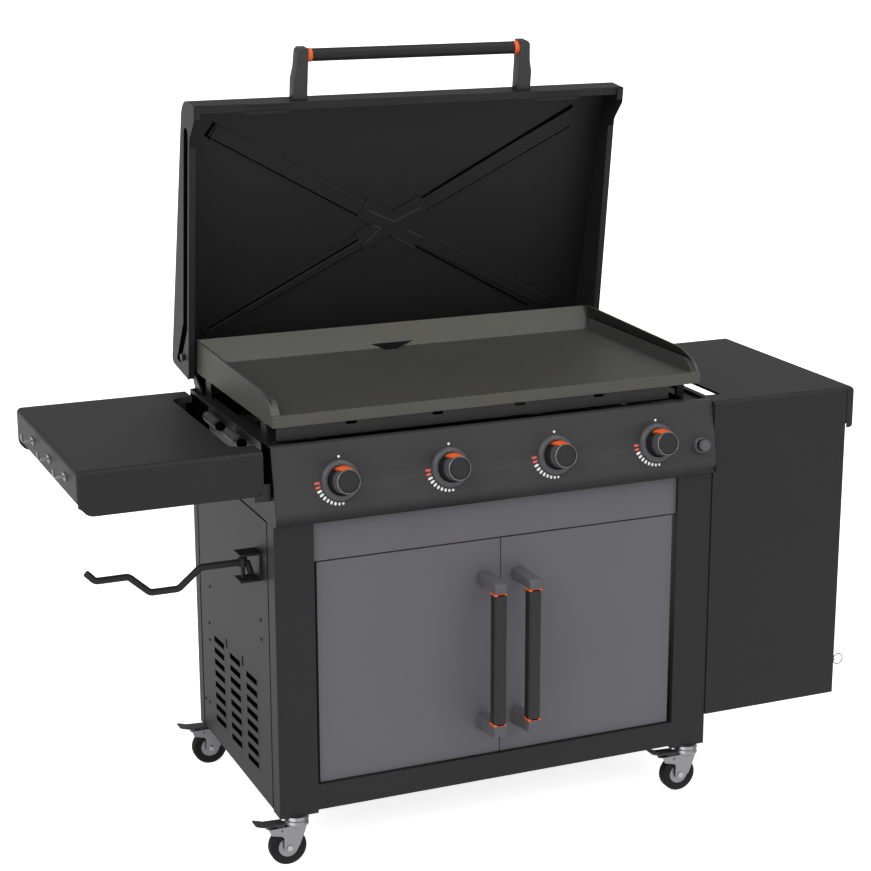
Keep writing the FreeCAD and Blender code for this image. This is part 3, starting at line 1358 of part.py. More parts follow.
def build():
    """Build every piece in the order in which the station is put together."""
    fill_sheet()
    legs()
    rails()
    cabinet_floor()
    side_panels()
    header_panel()
    firebox()
    heat_tray()
    gas_train()
    control_panel()
    bezels()
    knobs()
    igniter_button()
    griddle()
    griddle_fittings()
    grease_cup()
    lid()
    lid_hinges()
    door("left")
    door("right")
    door_pins()
    right_shelf()
    latch()
    left_shelf()
    shelf_brackets()
    arm_bracket()
    swing_arm()
    caster_mounts()
    for word, (across, along) in CORNERS.items():
        caster_fork(word, across, along)
        wheel(word, across, along)
        brake_pedal(word, across, along)
    DOC.recompute()


def check():
    """Stop with a plain message if any object failed or any piece is not sound."""
    for item in DOC.Objects:
        if "Invalid" in item.State or "Error" in item.State:
            raise RuntimeError(f"{item.Label} did not build: {item.State}")
    for item in NODES:
        if item.Shape.isNull() or not item.Shape.isValid():
            raise RuntimeError(f"{item.Label} has no sound shape")


def export():
    """Write each piece to its own file and print what was written."""
    os.makedirs("parts", exist_ok=True)
    whole = FreeCAD.BoundBox()
    for item in NODES:
        item.Shape.exportStep(f"parts/{item.Label}.step")
        whole.add(item.Shape.BoundBox)
        solids = len(item.Shape.Solids)
        print(f"{item.Label}: {solids} solid(s), {item.Shape.Volume / 1000:.1f} cubic cm")
    print(f"{len(NODES)} nodes")
    print(f"box X {whole.XMin:.1f} to {whole.XMax:.1f}, Y {whole.YMin:.1f} to {whole.YMax:.1f}, "
          f"Z {whole.ZMin:.1f} to {whole.ZMax:.1f}")


build()
check()
export()
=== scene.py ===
"""Looks of an outdoor gas griddle station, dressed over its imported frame.

Everything is in metres in the frame's own axes: X to the right, Y to the back, Z up.
Sizes written in millimetres are turned into metres where a piece is made.
"""

from __future__ import annotations

import json
import logging
import math
from dataclasses import dataclass
from enum import Enum, auto
from typing import Callable, Iterable, Sequence

import bmesh
import bpy
from mathutils import Matrix, Vector

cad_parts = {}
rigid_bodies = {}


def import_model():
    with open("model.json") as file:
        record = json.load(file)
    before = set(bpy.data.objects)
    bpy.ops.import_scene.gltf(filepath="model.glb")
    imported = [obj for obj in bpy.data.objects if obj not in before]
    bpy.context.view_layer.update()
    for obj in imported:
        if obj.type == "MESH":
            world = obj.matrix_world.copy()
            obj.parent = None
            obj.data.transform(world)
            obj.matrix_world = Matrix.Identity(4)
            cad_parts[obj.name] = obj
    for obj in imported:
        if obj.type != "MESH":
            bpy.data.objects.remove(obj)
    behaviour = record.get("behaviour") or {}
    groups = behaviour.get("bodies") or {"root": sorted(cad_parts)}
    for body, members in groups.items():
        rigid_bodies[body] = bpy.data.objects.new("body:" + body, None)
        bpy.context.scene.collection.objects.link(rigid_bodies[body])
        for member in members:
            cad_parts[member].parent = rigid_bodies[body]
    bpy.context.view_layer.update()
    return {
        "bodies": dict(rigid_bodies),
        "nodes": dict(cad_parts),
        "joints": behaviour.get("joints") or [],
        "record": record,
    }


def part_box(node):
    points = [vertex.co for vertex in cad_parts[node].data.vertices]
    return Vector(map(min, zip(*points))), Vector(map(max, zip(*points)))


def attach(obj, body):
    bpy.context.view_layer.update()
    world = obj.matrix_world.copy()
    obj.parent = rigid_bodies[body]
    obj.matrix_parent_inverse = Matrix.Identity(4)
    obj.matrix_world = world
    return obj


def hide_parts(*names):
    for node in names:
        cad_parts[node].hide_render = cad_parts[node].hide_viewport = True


LOG = logging.getLogger("griddle")
Point = tuple[float, float, float]
Outline = Sequence[tuple[float, float]]
Form = bmesh.types.BMesh

MM = 0.001
# How far the part's origin lies from the middle of the cabinet's front, at floor level.
SHIFT = Vector((0.02265, -0.28635, 0.0))
STATION = Matrix.Translation(SHIFT)
UP = Vector((0, 0, 1))
BACK = Vector((0, 1, 0))
# The control panel's top edge, by its depth and level, and how far the panel leans.
PANEL_DEPTH = 10.9
PANEL_TOP = 852.5
PANEL_LEAN = math.radians(11.55)
PANEL_OUT = Vector((0.0, -math.cos(PANEL_LEAN), math.sin(PANEL_LEAN)))
PANEL_UP = Vector((0.0, math.sin(PANEL_LEAN), math.cos(PANEL_LEAN)))
# How close two points of a merged copy may lie, in metres.
MERGE = 1e-5


def at(across: float, along: float, up: float) -> Vector:
    """Turn station millimetres into frame metres.

    Args:
        across: Distance to the right of the cabinet's middle, in millimetres.
        along: Distance behind the front legs' face, in millimetres.
        up: Height over the floor, in millimetres.

    Returns:
        The same place in the frame, in metres.
    """
    return Vector((across, along, up)) * MM + SHIFT


def on_panel(across: float, level: float) -> Vector:
    """Find a place on the sloping control panel.

    Args:
        across: Distance to the right of the cabinet's middle, in millimetres.
        level: Height over the floor, in millimetres.

    Returns:
        The place in the frame, in metres.
    """
    return at(across, PANEL_DEPTH - (PANEL_TOP - level) * math.tan(PANEL_LEAN), level)


def standing(place: Vector, out: Vector, up: Vector = UP) -> Matrix:
    """Stand a piece drawn along its own Z axis at a place.

    Args:
        place: Where its origin goes.
        out: Where its Z axis points.
        up: Where its Y axis points, across the Z axis.

    Returns:
        The transform from the piece's own axes to the frame.
    """
    out, up = out.normalized(), up.normalized()
    return Matrix.Translation(place) @ Matrix((up.cross(out), up, out)).transposed().to_4x4()


def sideways(sign: int) -> Matrix:
    """Turn plans of depth and level to face left, at -1, or right, at 1."""
    return Matrix(((0, 0, sign), (1, 0, 0), (0, 1, 0))).to_4x4()


class Tone(Enum):
    """Linear colours of the station's finishes."""

    COAT = (0.0120, 0.0120, 0.0124)
    COAT_LIGHT = (0.0205, 0.0205, 0.021)
    FASCIA = (0.036, 0.036, 0.0365)
    FASCIA_LIGHT = (0.046, 0.046, 0.0465)
    # The painted shade at the control panel's rolled foot.
    FASCIA_PAINTED_SHADE = (0.006, 0.006, 0.006)
    DOOR = (0.112, 0.109, 0.122)
    DOOR_LIGHT = (0.132, 0.129, 0.142)
    BRACKET = (0.085, 0.083, 0.092)
    BRACKET_LIGHT = (0.120, 0.118, 0.128)
    STEEL_DARK = (0.068, 0.070, 0.060)
    STEEL_LIGHT = (0.104, 0.106, 0.093)
    STEEL_WARM = (0.098, 0.090, 0.074)
    STEEL_SHADE = (0.026, 0.026, 0.021)
    SHEET = (0.42, 0.42, 0.41)
    ZINC = (0.30, 0.30, 0.31)
    BRIGHT = (0.50, 0.50, 0.50)
    CERAMIC = (0.78, 0.76, 0.70)
    BRASS = (0.55, 0.38, 0.14)
    BEZEL = (0.068, 0.068, 0.072)
    BEZEL_LIGHT = (0.085, 0.085, 0.092)
    # Black of open gaps and dark joints, also used for painted shade.
    GAP_AND_SHADE = (0.0015, 0.0015, 0.0015)
    GAP_AND_SHADE_DUSTY = (0.004, 0.004, 0.004)
    PLASTIC = (0.010, 0.010, 0.010)
    PLASTIC_WORN = (0.022, 0.022, 0.022)
    GRIP = (0.0125, 0.0125, 0.0125)
    ORANGE = (0.85, 0.115, 0.016)
    WHITE = (0.85, 0.85, 0.85)
    RED = (0.72, 0.12, 0.075)
    RUBBER = (0.006, 0.006, 0.006)
    RUBBER_DUSTY = (0.020, 0.0195, 0.019)
    FLOOR = (0.90, 0.90, 0.90)
    FLOOR_LIGHT = (0.93, 0.93, 0.93)
    NIGHT = (0.0, 0.0, 0.0)
    DAY = (1.0, 1.0, 1.0)


class Ends(Enum):
    """What a skinned form does at its first and last rows."""

    OPEN = auto()
    CAPPED = auto()
    LOOPED = auto()


class Socket:
    """One output of a node, with arithmetic that adds the nodes it needs."""

    def __init__(self, graph: Graph, output: bpy.types.NodeSocket) -> None:
        """Wrap an output.

        Args:
            graph: The graph that the output belongs to.
            output: The node output itself.
        """
        self.graph = graph
        self.output = output

    def _math(self, operation: str, first: Socket | float, second: Socket | float) -> Socket:
        """Work out an operation on two values."""
        return self.graph.node("ShaderNodeMath", {"operation": operation}, {0: first, 1: second})

    def __add__(self, other: Socket | float) -> Socket:
        """Add."""
        return self._math("ADD", self, other)

    __radd__ = __add__

    def __sub__(self, other: Socket | float) -> Socket:
        """Subtract."""
        return self._math("SUBTRACT", self, other)

    def __rsub__(self, other: float) -> Socket:
        """Subtract this value from a number."""
        return self._math("SUBTRACT", other, self)

    def __mul__(self, other: Socket | float) -> Socket:
        """Multiply."""
        return self._math("MULTIPLY", self, other)

    __rmul__ = __mul__

    def clamped(self) -> Socket:
        """Limit the value to the span from 0 to 1."""
        settings = {"operation": "ADD", "use_clamp": True}
        return self.graph.node("ShaderNodeMath", settings, {0: self, 1: 0.0})

    def between(self, low: float, high: float) -> Socket:
        """Rise smoothly from 0 to 1 while the value goes from low to high."""
        values = {"Value": self, "From Min": low, "From Max": high}
        return self.graph.node("ShaderNodeMapRange", {"interpolation_type": "SMOOTHSTEP"}, values)


class Graph:
    """A material's node tree, with short calls for the nodes used here."""

    def __init__(self, name: str) -> None:
        """Start a material with one surface shader.

        Args:
            name: The material's name.
        """
        self.material = bpy.data.materials.new(name)
        self.material.use_nodes = True
        self.tree = self.material.node_tree
        self.shader = self.tree.nodes["Principled BSDF"]
        self.place = self.node("ShaderNodeTexCoord", {}, {}, "Object")

    def feed(self, slot: bpy.types.NodeSocket, value: Socket | float | Sequence[float]) -> None:
        """Set an input from a number or from another node.

        Args:
            slot: The input to set.
            value: A number, a vector or colour, or the output to link.
        """
        if isinstance(value, Socket):
            self.tree.links.new(value.output, slot)
        else:
            slot.default_value = value

    def node(self, kind: str, settings: dict, values: dict, output: str | int = 0) -> Socket:
        """Add a node.

        Args:
            kind: The node's type name.
            settings: The node's own settings, which are set first.
            values: Inputs by name or number, with their numbers or links.
            output: The name or number of the output that is wanted.

        Returns:
            That output.
        """
        made = self.tree.nodes.new(kind)
        for word, value in settings.items():
            setattr(made, word, value)
        for word, value in values.items():
            self.feed(made.inputs[word], value)
        return Socket(self, made.outputs[output])

    def noise(self, scale: float, detail: float = 2.0, stretch: Point | None = None) -> Socket:
        """Add smooth noise.

        Args:
            scale: How many features fit in a metre.
            detail: How many finer layers are added.
            stretch: How much the coordinates are scaled along X, Y and Z first.

        Returns:
            The noise from 0 to 1.
        """
        where = self.place
        if stretch:
            where = self.node("ShaderNodeMapping", {}, {"Vector": self.place, "Scale": stretch})
        values = {"Scale": scale, "Detail": detail, "Vector": where}
        return self.node("ShaderNodeTexNoise", {}, values, "Fac")

    def axis(self, word: str) -> Socket:
        """Give one of the place's coordinates, in metres."""
        return self.node("ShaderNodeSeparateXYZ", {}, {"Vector": self.place}, word)

    def ray(self, kind: str) -> Socket:
        """Give 1 for rays of a kind, and 0 for others."""
        return self.node("ShaderNodeLightPath", {}, {}, f"Is {kind} Ray")

    def blend(self, share: Socket, first: Tone | Socket, second: Tone) -> Socket:
        """Mix two colours.

        Args:
            share: How much of the second colour shows.
            first: The colour at 0.
            second: The colour at 1.

        Returns:
            The mixed colour.
        """
        low = first if isinstance(first, Socket) else (*first.value, 1.0)
        values = {0: share, 6: low, 7: (*second.value, 1.0)}
        return self.node("ShaderNodeMix", {"data_type": "RGBA"}, values, 2)

    def worn_edges(self, reach: float) -> Socket:
        """Find the edges of the surface.

        Args:
            reach: How far from an edge its wear shows, in metres.

        Returns:
            A value near 1 on edges and 0 on open surface.
        """
        bevel = self.node("ShaderNodeBevel", {"samples": 4}, {"Radius": reach})
        face = self.node("ShaderNodeNewGeometry", {}, {}, "Normal")
        dot = {"operation": "DOT_PRODUCT"}
        facing = self.node("ShaderNodeVectorMath", dot, {0: bevel, 1: face}, "Value")
        return (1.0 - facing).between(0.02, 0.25)

    def bump(self, height: Socket, depth: float) -> None:
        """Raise the surface by a height, whose unit is a depth in metres."""
        normal = self.node("ShaderNodeBump", {}, {"Distance": depth, "Height": height})
        self.feed(self.shader.inputs["Normal"], normal)

    def finish(self, **values: Socket | float | Point) -> bpy.types.Material:
        """Set the surface shader's inputs.

        Args:
            **values: Input names, with spaces written as underscores, and their values.

        Returns:
            The material.
        """
        for word, value in values.items():
            if isinstance(value, tuple) and len(value) == 3:
                value = (*value, 1.0)
            self.feed(self.shader.inputs[word.replace("_", " ")], value)
        return self.material


@dataclass(frozen=True)
class Coat:
    """Powder coat: a fine orange-peel grain over two close tones, paler on worn edges."""

    name: str
    dark: Tone
    light: Tone
    rough: float
    grain: float = 2600.0
    depth: float = 0.00012
    gloss: float = 0.25
    reach: float = 0.0012
    wear: float = 0.5

    def pattern(self, graph: Graph, grain: Socket) -> Socket:
        """Tell how much of the light tone shows on open surface."""
        return grain.between(0.35, 0.75) * 0.5 + graph.noise(5.0, 2.0) * 0.3

    def tinted(self, graph: Graph, plain: Socket) -> Socket:
        """Give the colour with what varies over the whole piece."""
        return plain

    def material(self) -> bpy.types.Material:
        """Build the finish.

        Returns:
            The material.
        """
        graph = Graph(self.name)
        grain = graph.noise(self.grain, 3.0)
        shade = self.pattern(graph, grain) + graph.worn_edges(self.reach) * self.wear
        graph.bump(grain, self.depth)
        return graph.finish(
            Base_Color=self.tinted(graph, graph.blend(shade.clamped(), self.dark, self.light)),
            Roughness=grain * 0.12 + self.rough,
            Specular_IOR_Level=self.gloss,
        )


@dataclass(frozen=True)
class FasciaCoat(Coat):
    """The control panel's powder coat, with painted shade that darkens it towards its rolled-under
    foot.
    """

    # Where the painted shade is full, and how far above it fades out, in metres.
    foot: float = 0.702
    rise: float = 0.030

    def pattern(self, graph: Graph, grain: Socket) -> Socket:
        """Tell how much of the light tone shows on open surface."""
        return grain.between(0.35, 0.75) * 0.5

    def tinted(self, graph: Graph, plain: Socket) -> Socket:
        """Paint shade on the colour towards the foot, where the rolled foot turns from the light.
        """
        # Painted shade, full at the foot and gone a rise above it.
        painted_foot_shade = 1.0 - graph.axis("Z").between(self.foot, self.foot + self.rise)
        return graph.blend(painted_foot_shade, plain, Tone.FASCIA_PAINTED_SHADE)


@dataclass(frozen=True)
class Moulded(Coat):
    """Moulded plastic, glazed ceramic or print: close tones with a fine grain."""

    grain: float = 1500.0
    depth: float = 0.00008
    gloss: float = 0.35
    reach: float = 0.0008
    wear: float = 0.7

    def pattern(self, graph: Graph, grain: Socket) -> Socket:
        """Tell how much of the light tone shows on open surface."""
        return grain * 0.3


@dataclass(frozen=True)
class SeasonedSteel:
    """Rolled steel plate darkened by oil, with a warm tint in patches and painted shade on the
    right wall's inner face.
    """

    name: str = "seasoned_steel"
    rough: float = 0.42
    # Where shade is painted: across the right wall's inner face, from its root to its outside, and
    # above the plate's top, in metres.
    wall: tuple[float, float, float, float] = (0.4655, 0.4680, 0.4779, 0.4785)
    top: tuple[float, float] = (0.9063, 0.9075)

    def material(self) -> bpy.types.Material:
        """Build the finish.

        Returns:
            The material.
        """
        graph = Graph(self.name)
        grain = graph.noise(1400.0, 4.0)
        cloud = graph.noise(7.0, 3.0)
        streak = graph.noise(30.0, 2.0, (0.4, 6.0, 1.0))
        edge = graph.worn_edges(0.002)
        shade = (grain.between(0.3, 0.7) * 0.55 + cloud * 0.25 + streak * 0.2 + edge).clamped()
        plain = graph.blend(shade, Tone.STEEL_DARK, Tone.STEEL_LIGHT)
        warm = graph.noise(9.0, 2.0, (1.0, 1.0, 0.2)).between(0.52, 0.68)
        graph.bump(grain, 0.00025)
        across = graph.axis("X")
        face = across.between(*self.wall[:2]) * (1.0 - across.between(*self.wall[2:]))
        # Painted shade on the right wall's inner face, from the plate's top up.
        painted_wall_shade = face * graph.axis("Z").between(*self.top)
        worn = graph.blend(warm * 0.5, plain, Tone.STEEL_WARM)
        return graph.finish(
            Base_Color=graph.blend(painted_wall_shade, worn, Tone.STEEL_SHADE),
            Metallic=0.55,
            Roughness=grain * 0.2 + self.rough,
        )


@dataclass(frozen=True)
class Metal:
    """Bare or plated metal with a faint drawn grain."""

    name: str
    tone: Tone
    rough: float

    def material(self) -> bpy.types.Material:
        """Build the finish.

        Returns:
            The material.
        """
        graph = Graph(self.name)
        brush = graph.noise(60.0, 3.0, (1.0, 1.0, 24.0))
        graph.bump(brush + graph.noise(900.0, 2.0) * 0.5, 0.00006)
        return graph.finish(
            Base_Color=self.tone.value, Metallic=1.0, Roughness=brush * 0.18 + (self.rough - 0.05)
        )


@dataclass(frozen=True)
class Rubber:
    """Tyre rubber, dusty towards the floor."""

    name: str = "rubber"

    def material(self) -> bpy.types.Material:
        """Build the finish.

        Returns:
            The material.
        """
        graph = Graph(self.name)
        grain = graph.noise(700.0, 3.0)
        dust = (1.0 - graph.axis("Z").between(0.0, 0.05)) * grain.between(0.4, 0.7)
        graph.bump(grain, 0.0001)
        return graph.finish(
            Base_Color=graph.blend(dust, Tone.RUBBER, Tone.RUBBER_DUSTY),
            Roughness=grain * 0.1 + 0.55,
            Specular_IOR_Level=0.2,
        )


@dataclass(frozen=True)
class StudioFloor:
    """Pale paper that shows white while it still takes the object's shadow."""

    name: str = "floor"
    lift: float = 0.80
    mirrored: float = 0.20

    def material(self) -> bpy.types.Material:
        """Build the finish.

        Returns:
            The material.
        """
        graph = Graph(self.name)
        fibre = graph.noise(40.0, 3.0)
        seen = (
            graph.ray("Camera") * self.lift
            + graph.ray("Glossy") * self.mirrored
            + graph.ray("Transmission") * self.mirrored
        ).clamped()
        graph.bump(fibre, 0.0002)
        return graph.finish(
            Base_Color=graph.blend(fibre, Tone.FLOOR, Tone.FLOOR_LIGHT),
            Roughness=0.9,
            Specular_IOR_Level=0.1,
            Emission_Color=graph.blend(seen, Tone.NIGHT, Tone.DAY),
            Emission_Strength=1.0,
        )


class Finishes:
    """Every material of the station, made once."""

    def __init__(self) -> None:
        """Make the materials, and name the one of each of the record's slots."""
        self.coat = Coat("powder_coat_black", Tone.COAT, Tone.COAT_LIGHT, 0.42).material()
        self.fascia = Coat("powder_coat_fascia", Tone.FASCIA, Tone.FASCIA_LIGHT, 0.40).material()
        self.panel = FasciaCoat(
            "powder_coat_panel_painted_shade", Tone.FASCIA, Tone.FASCIA_LIGHT, 0.40
        ).material()
        self.door = Coat("powder_coat_grey", Tone.DOOR, Tone.DOOR_LIGHT, 0.44).material()
        self.bracket = Coat(
            "cast_grey", Tone.BRACKET, Tone.BRACKET_LIGHT, 0.40, grain=900.0, depth=0.0002
        ).material()
        self.griddle = SeasonedSteel().material()
        self.sheet = Metal("sheet_steel", Tone.SHEET, 0.34).material()
        self.zinc = Metal("zinc_plate", Tone.ZINC, 0.34).material()
        self.bright = Metal("bright_steel", Tone.BRIGHT, 0.30).material()
        self.brass = Metal("brass", Tone.BRASS, 0.30).material()
        self.bezel = Moulded("bezel_grey", Tone.BEZEL, Tone.BEZEL_LIGHT, 0.30).material()
        self.ceramic = Moulded(
            "ceramic", Tone.CERAMIC, Tone.CERAMIC, 0.14, grain=900.0
        ).material()
        # Black for open gaps and dark joints, also used for painted shade and painted shadow.
        self.gap = Moulded(
            "open_gap_and_painted_shade", Tone.GAP_AND_SHADE, Tone.GAP_AND_SHADE_DUSTY, 0.88, grain=900.0, gloss=0.0
        ).material()
        self.plastic = Moulded("moulded_plastic", Tone.PLASTIC, Tone.PLASTIC_WORN, 0.34).material()
        self.grip = Moulded("grip_plastic", Tone.GRIP, Tone.PLASTIC_WORN, 0.36).material()
        self.orange = Moulded("orange_plastic", Tone.ORANGE, Tone.ORANGE, 0.32).material()
        self.white = Moulded("print_white", Tone.WHITE, Tone.WHITE, 0.45).material()
        self.red = Moulded("print_red", Tone.RED, Tone.RED, 0.45).material()
        self.rubber = Rubber().material()
        self.floor = StudioFloor().material()
        self.by_slot = {
            "frame": self.coat, "door": self.door, "griddle": self.griddle, "tray": self.sheet,
            "burner": self.sheet, "ceramic": self.ceramic, "pipe": self.sheet,
            "brass": self.brass, "bezel": self.bezel, "knob": self.plastic,
            "bracket": self.bracket, "zinc": self.zinc, "pedal": self.fascia,
            "tyre": self.rubber,
        }


def skinned(
    rows: Sequence[Sequence[Point]], place: Matrix, ends: Ends, finishes: Sequence[int] = ()
) -> Form:
    """Skin a form over rows of points.

    Args:
        rows: Rings of points in millimetres, of which one with a single point is a pole.
        place: The transform from the form's own axes to the frame.
        ends: What the form does at its first and last rows.
        finishes: Each run's finish by number, 0 where none is given.

    Returns:
        The form.
    """
    form = bmesh.new()
    rings = [
        [form.verts.new([length * MM for length in point]) for point in row] for row in rows
    ]
    sides = max(len(ring) for ring in rings)
    if ends is Ends.CAPPED:
        form.faces.new(rings[0][::-1])
        form.faces.new(rings[-1])
    if ends is Ends.LOOPED:
        rings.append(rings[0])
    rings = [ring if len(ring) > 1 else ring * sides for ring in rings]
    for run, (low, high) in enumerate(zip(rings, rings[1:])):
        for side in range(sides):
            beside = (side + 1) % sides
            corners = dict.fromkeys((low[side], low[beside], high[beside], high[side]))
            face = form.faces.new(list(corners))
            face.material_index = finishes[run] if run < len(finishes) else 0
    form.transform(place)
    bmesh.ops.recalc_face_normals(form, faces=form.faces)
    return form


def turned(
    outline: Outline, place: Matrix, sides: int = 48, finishes: Sequence[int] = ()
) -> Form:
    """Turn an outline about the Z axis.

    Args:
        outline: Radius and height of each ring in millimetres, where 0 is a pole.
        place: The transform from the form's own axes to the frame.
        sides: How many faces go round the form.
        finishes: Each run's finish by number.

    Returns:
        The form, which is a loop if it has no pole.
    """
    turns = [math.tau * side / sides for side in range(sides)]
    rows = [
        [(radius * math.cos(turn), radius * math.sin(turn), height)
         for turn in (turns if radius else turns[:1])]
        for radius, height in outline
    ]
    ends = Ends.LOOPED if outline[0][0] and outline[-1][0] else Ends.OPEN
    return skinned(rows, place, ends, finishes)


def raised(plan: Iterable[tuple[float, float]], low: float, high: float, place: Matrix) -> Form:
    """Raise a closed plan to a slab.

    Args:
        plan: Its corners in order, in millimetres.
        low: The level of its underside, in millimetres.
        high: The level of its top, in millimetres.
        place: The transform from the plan's own axes to the frame.

    Returns:
        The slab.
    """
    corners = list(plan)
    rows = [[(across, along, level) for across, along in corners] for level in (low, high)]
    return skinned(rows, place, Ends.CAPPED)


def swept(path: Sequence[Vector], radius: float, place: Matrix, sides: int = 20) -> Form:
    """Run a round rod along a path that keeps to one upright plane.

    Args:
        path: The rod's middle line, in millimetres.
        radius: The rod's radius.
        place: The transform from the path's axes to the frame.
        sides: How many faces go round the rod.

    Returns:
        The rod, closed at its ends.
    """
    turns = [math.tau * side / sides for side in range(sides)]
    rows = []
    for index, spot in enumerate(path):
        ahead = (path[min(index + 1, len(path) - 1)] - path[max(index - 1, 0)]).normalized()
        beside = ahead.cross(BACK)
        rows.append([spot + BACK * radius * math.cos(turn) + beside * radius * math.sin(turn)
                     for turn in turns])
    return skinned(rows, place, Ends.CAPPED)


def rounded_plan(wide: float, deep: float, radius: float, steps: int = 4) -> Outline:
    """Draw a rectangle with round corners about the origin.

    Args:
        wide: Its size along X.
        deep: Its size along Y.
        radius: The corners' radius.
        steps: How many runs make up each corner.

    Returns:
        Its corners in order.
    """
    points = []
    for quarter, (across, along) in enumerate(((1, 1), (-1, 1), (-1, -1), (1, -1))):
        for step in range(steps + 1):
            turn = math.radians(90.0 * (quarter + step / steps))
            points.append((across * (wide / 2 - radius) + radius * math.cos(turn),
                           along * (deep / 2 - radius) + radius * math.sin(turn)))
    return points


def ribbon(line: Outline, wide: float) -> Outline:
    """Widen a line to a band with mitred corners.

    Args:
        line: The line's points, in millimetres.
        wide: The band's width, in millimetres.

    Returns:
        The band's corners in order.
    """
    points = [Vector(point) for point in line]
    runs = [(second - first).normalized() for first, second in zip(points, points[1:])]
    near, far = [], []
    for point, before, after in zip(points, runs[:1] + runs, runs + runs[-1:]):
        square = before.orthogonal() + after.orthogonal()
        reach = square * (wide / 2) / (1.0 + before.dot(after))
        near.append(tuple(point + reach))
        far.append(tuple(point - reach))
    return near + far[::-1]


def bent(line: Sequence[Point], bend: float, steps: int = 6) -> list[Vector]:
    """Round the corners of a line in space.

    Args:
        line: The line's points, in millimetres.
        bend: The radius of every corner.
        steps: How many runs make up each corner.

    Returns:
        The rounded line's points.
    """
    spots = [Vector(point) for point in line]
    path = spots[:1]
    for before, corner, after in zip(spots, spots[1:], spots[2:]):
        back, ahead = (before - corner).normalized(), (after - corner).normalized()
        half = (math.pi - back.angle(ahead)) / 2
        middle = corner + (back + ahead).normalized() * bend / math.cos(half)
        start = corner + back * bend * math.tan(half) - middle
        turn = start.angle(corner + ahead * bend * math.tan(half) - middle)
        axis = start.cross(ahead)
        path += [middle + Matrix.Rotation(turn * step / steps, 3, axis) @ start
                 for step in range(steps + 1)]
    return path + spots[-1:]


def mesh_of(form: Form, name: str) -> bpy.types.Mesh:
    """Write a form to a new mesh.

    Args:
        form: The form, used up.
        name: The mesh's name.

    Returns:
        The mesh.
    """
    mesh = bpy.data.meshes.new(name)
    form.to_mesh(mesh)
    form.free()
    return mesh


def joined(*forms: Form) -> Form:
    """Gather several forms into the first one.

    Args:
        *forms: The forms, of which all but the first are used up.

    Returns:
        The first form with the others in it.
    """
    for other in forms[1:]:
        mesh = mesh_of(other, "passing")
        forms[0].from_mesh(mesh)
        bpy.data.meshes.remove(mesh)
    return forms[0]


def linked(name: str, data: bpy.types.ID) -> bpy.types.Object:
    """Add an object to the scene.

    Args:
        name: The object's name.
        data: Its mesh, lamp or camera.

    Returns:
        The object.
    """
    item = bpy.data.objects.new(name, data)
    bpy.context.scene.collection.objects.link(item)
    return item


def settled(holder: bpy.types.Object) -> bpy.types.Mesh:
    """Turn what an object's modifiers make into a plain mesh.

    Args:
        holder: The object, which is removed.

    Returns:
        The mesh.
    """
    bpy.context.view_layer.update()
    depsgraph = bpy.context.evaluated_depsgraph_get()
    result = bpy.data.meshes.new_from_object(holder.evaluated_get(depsgraph))
    bpy.data.objects.remove(holder)
    return result


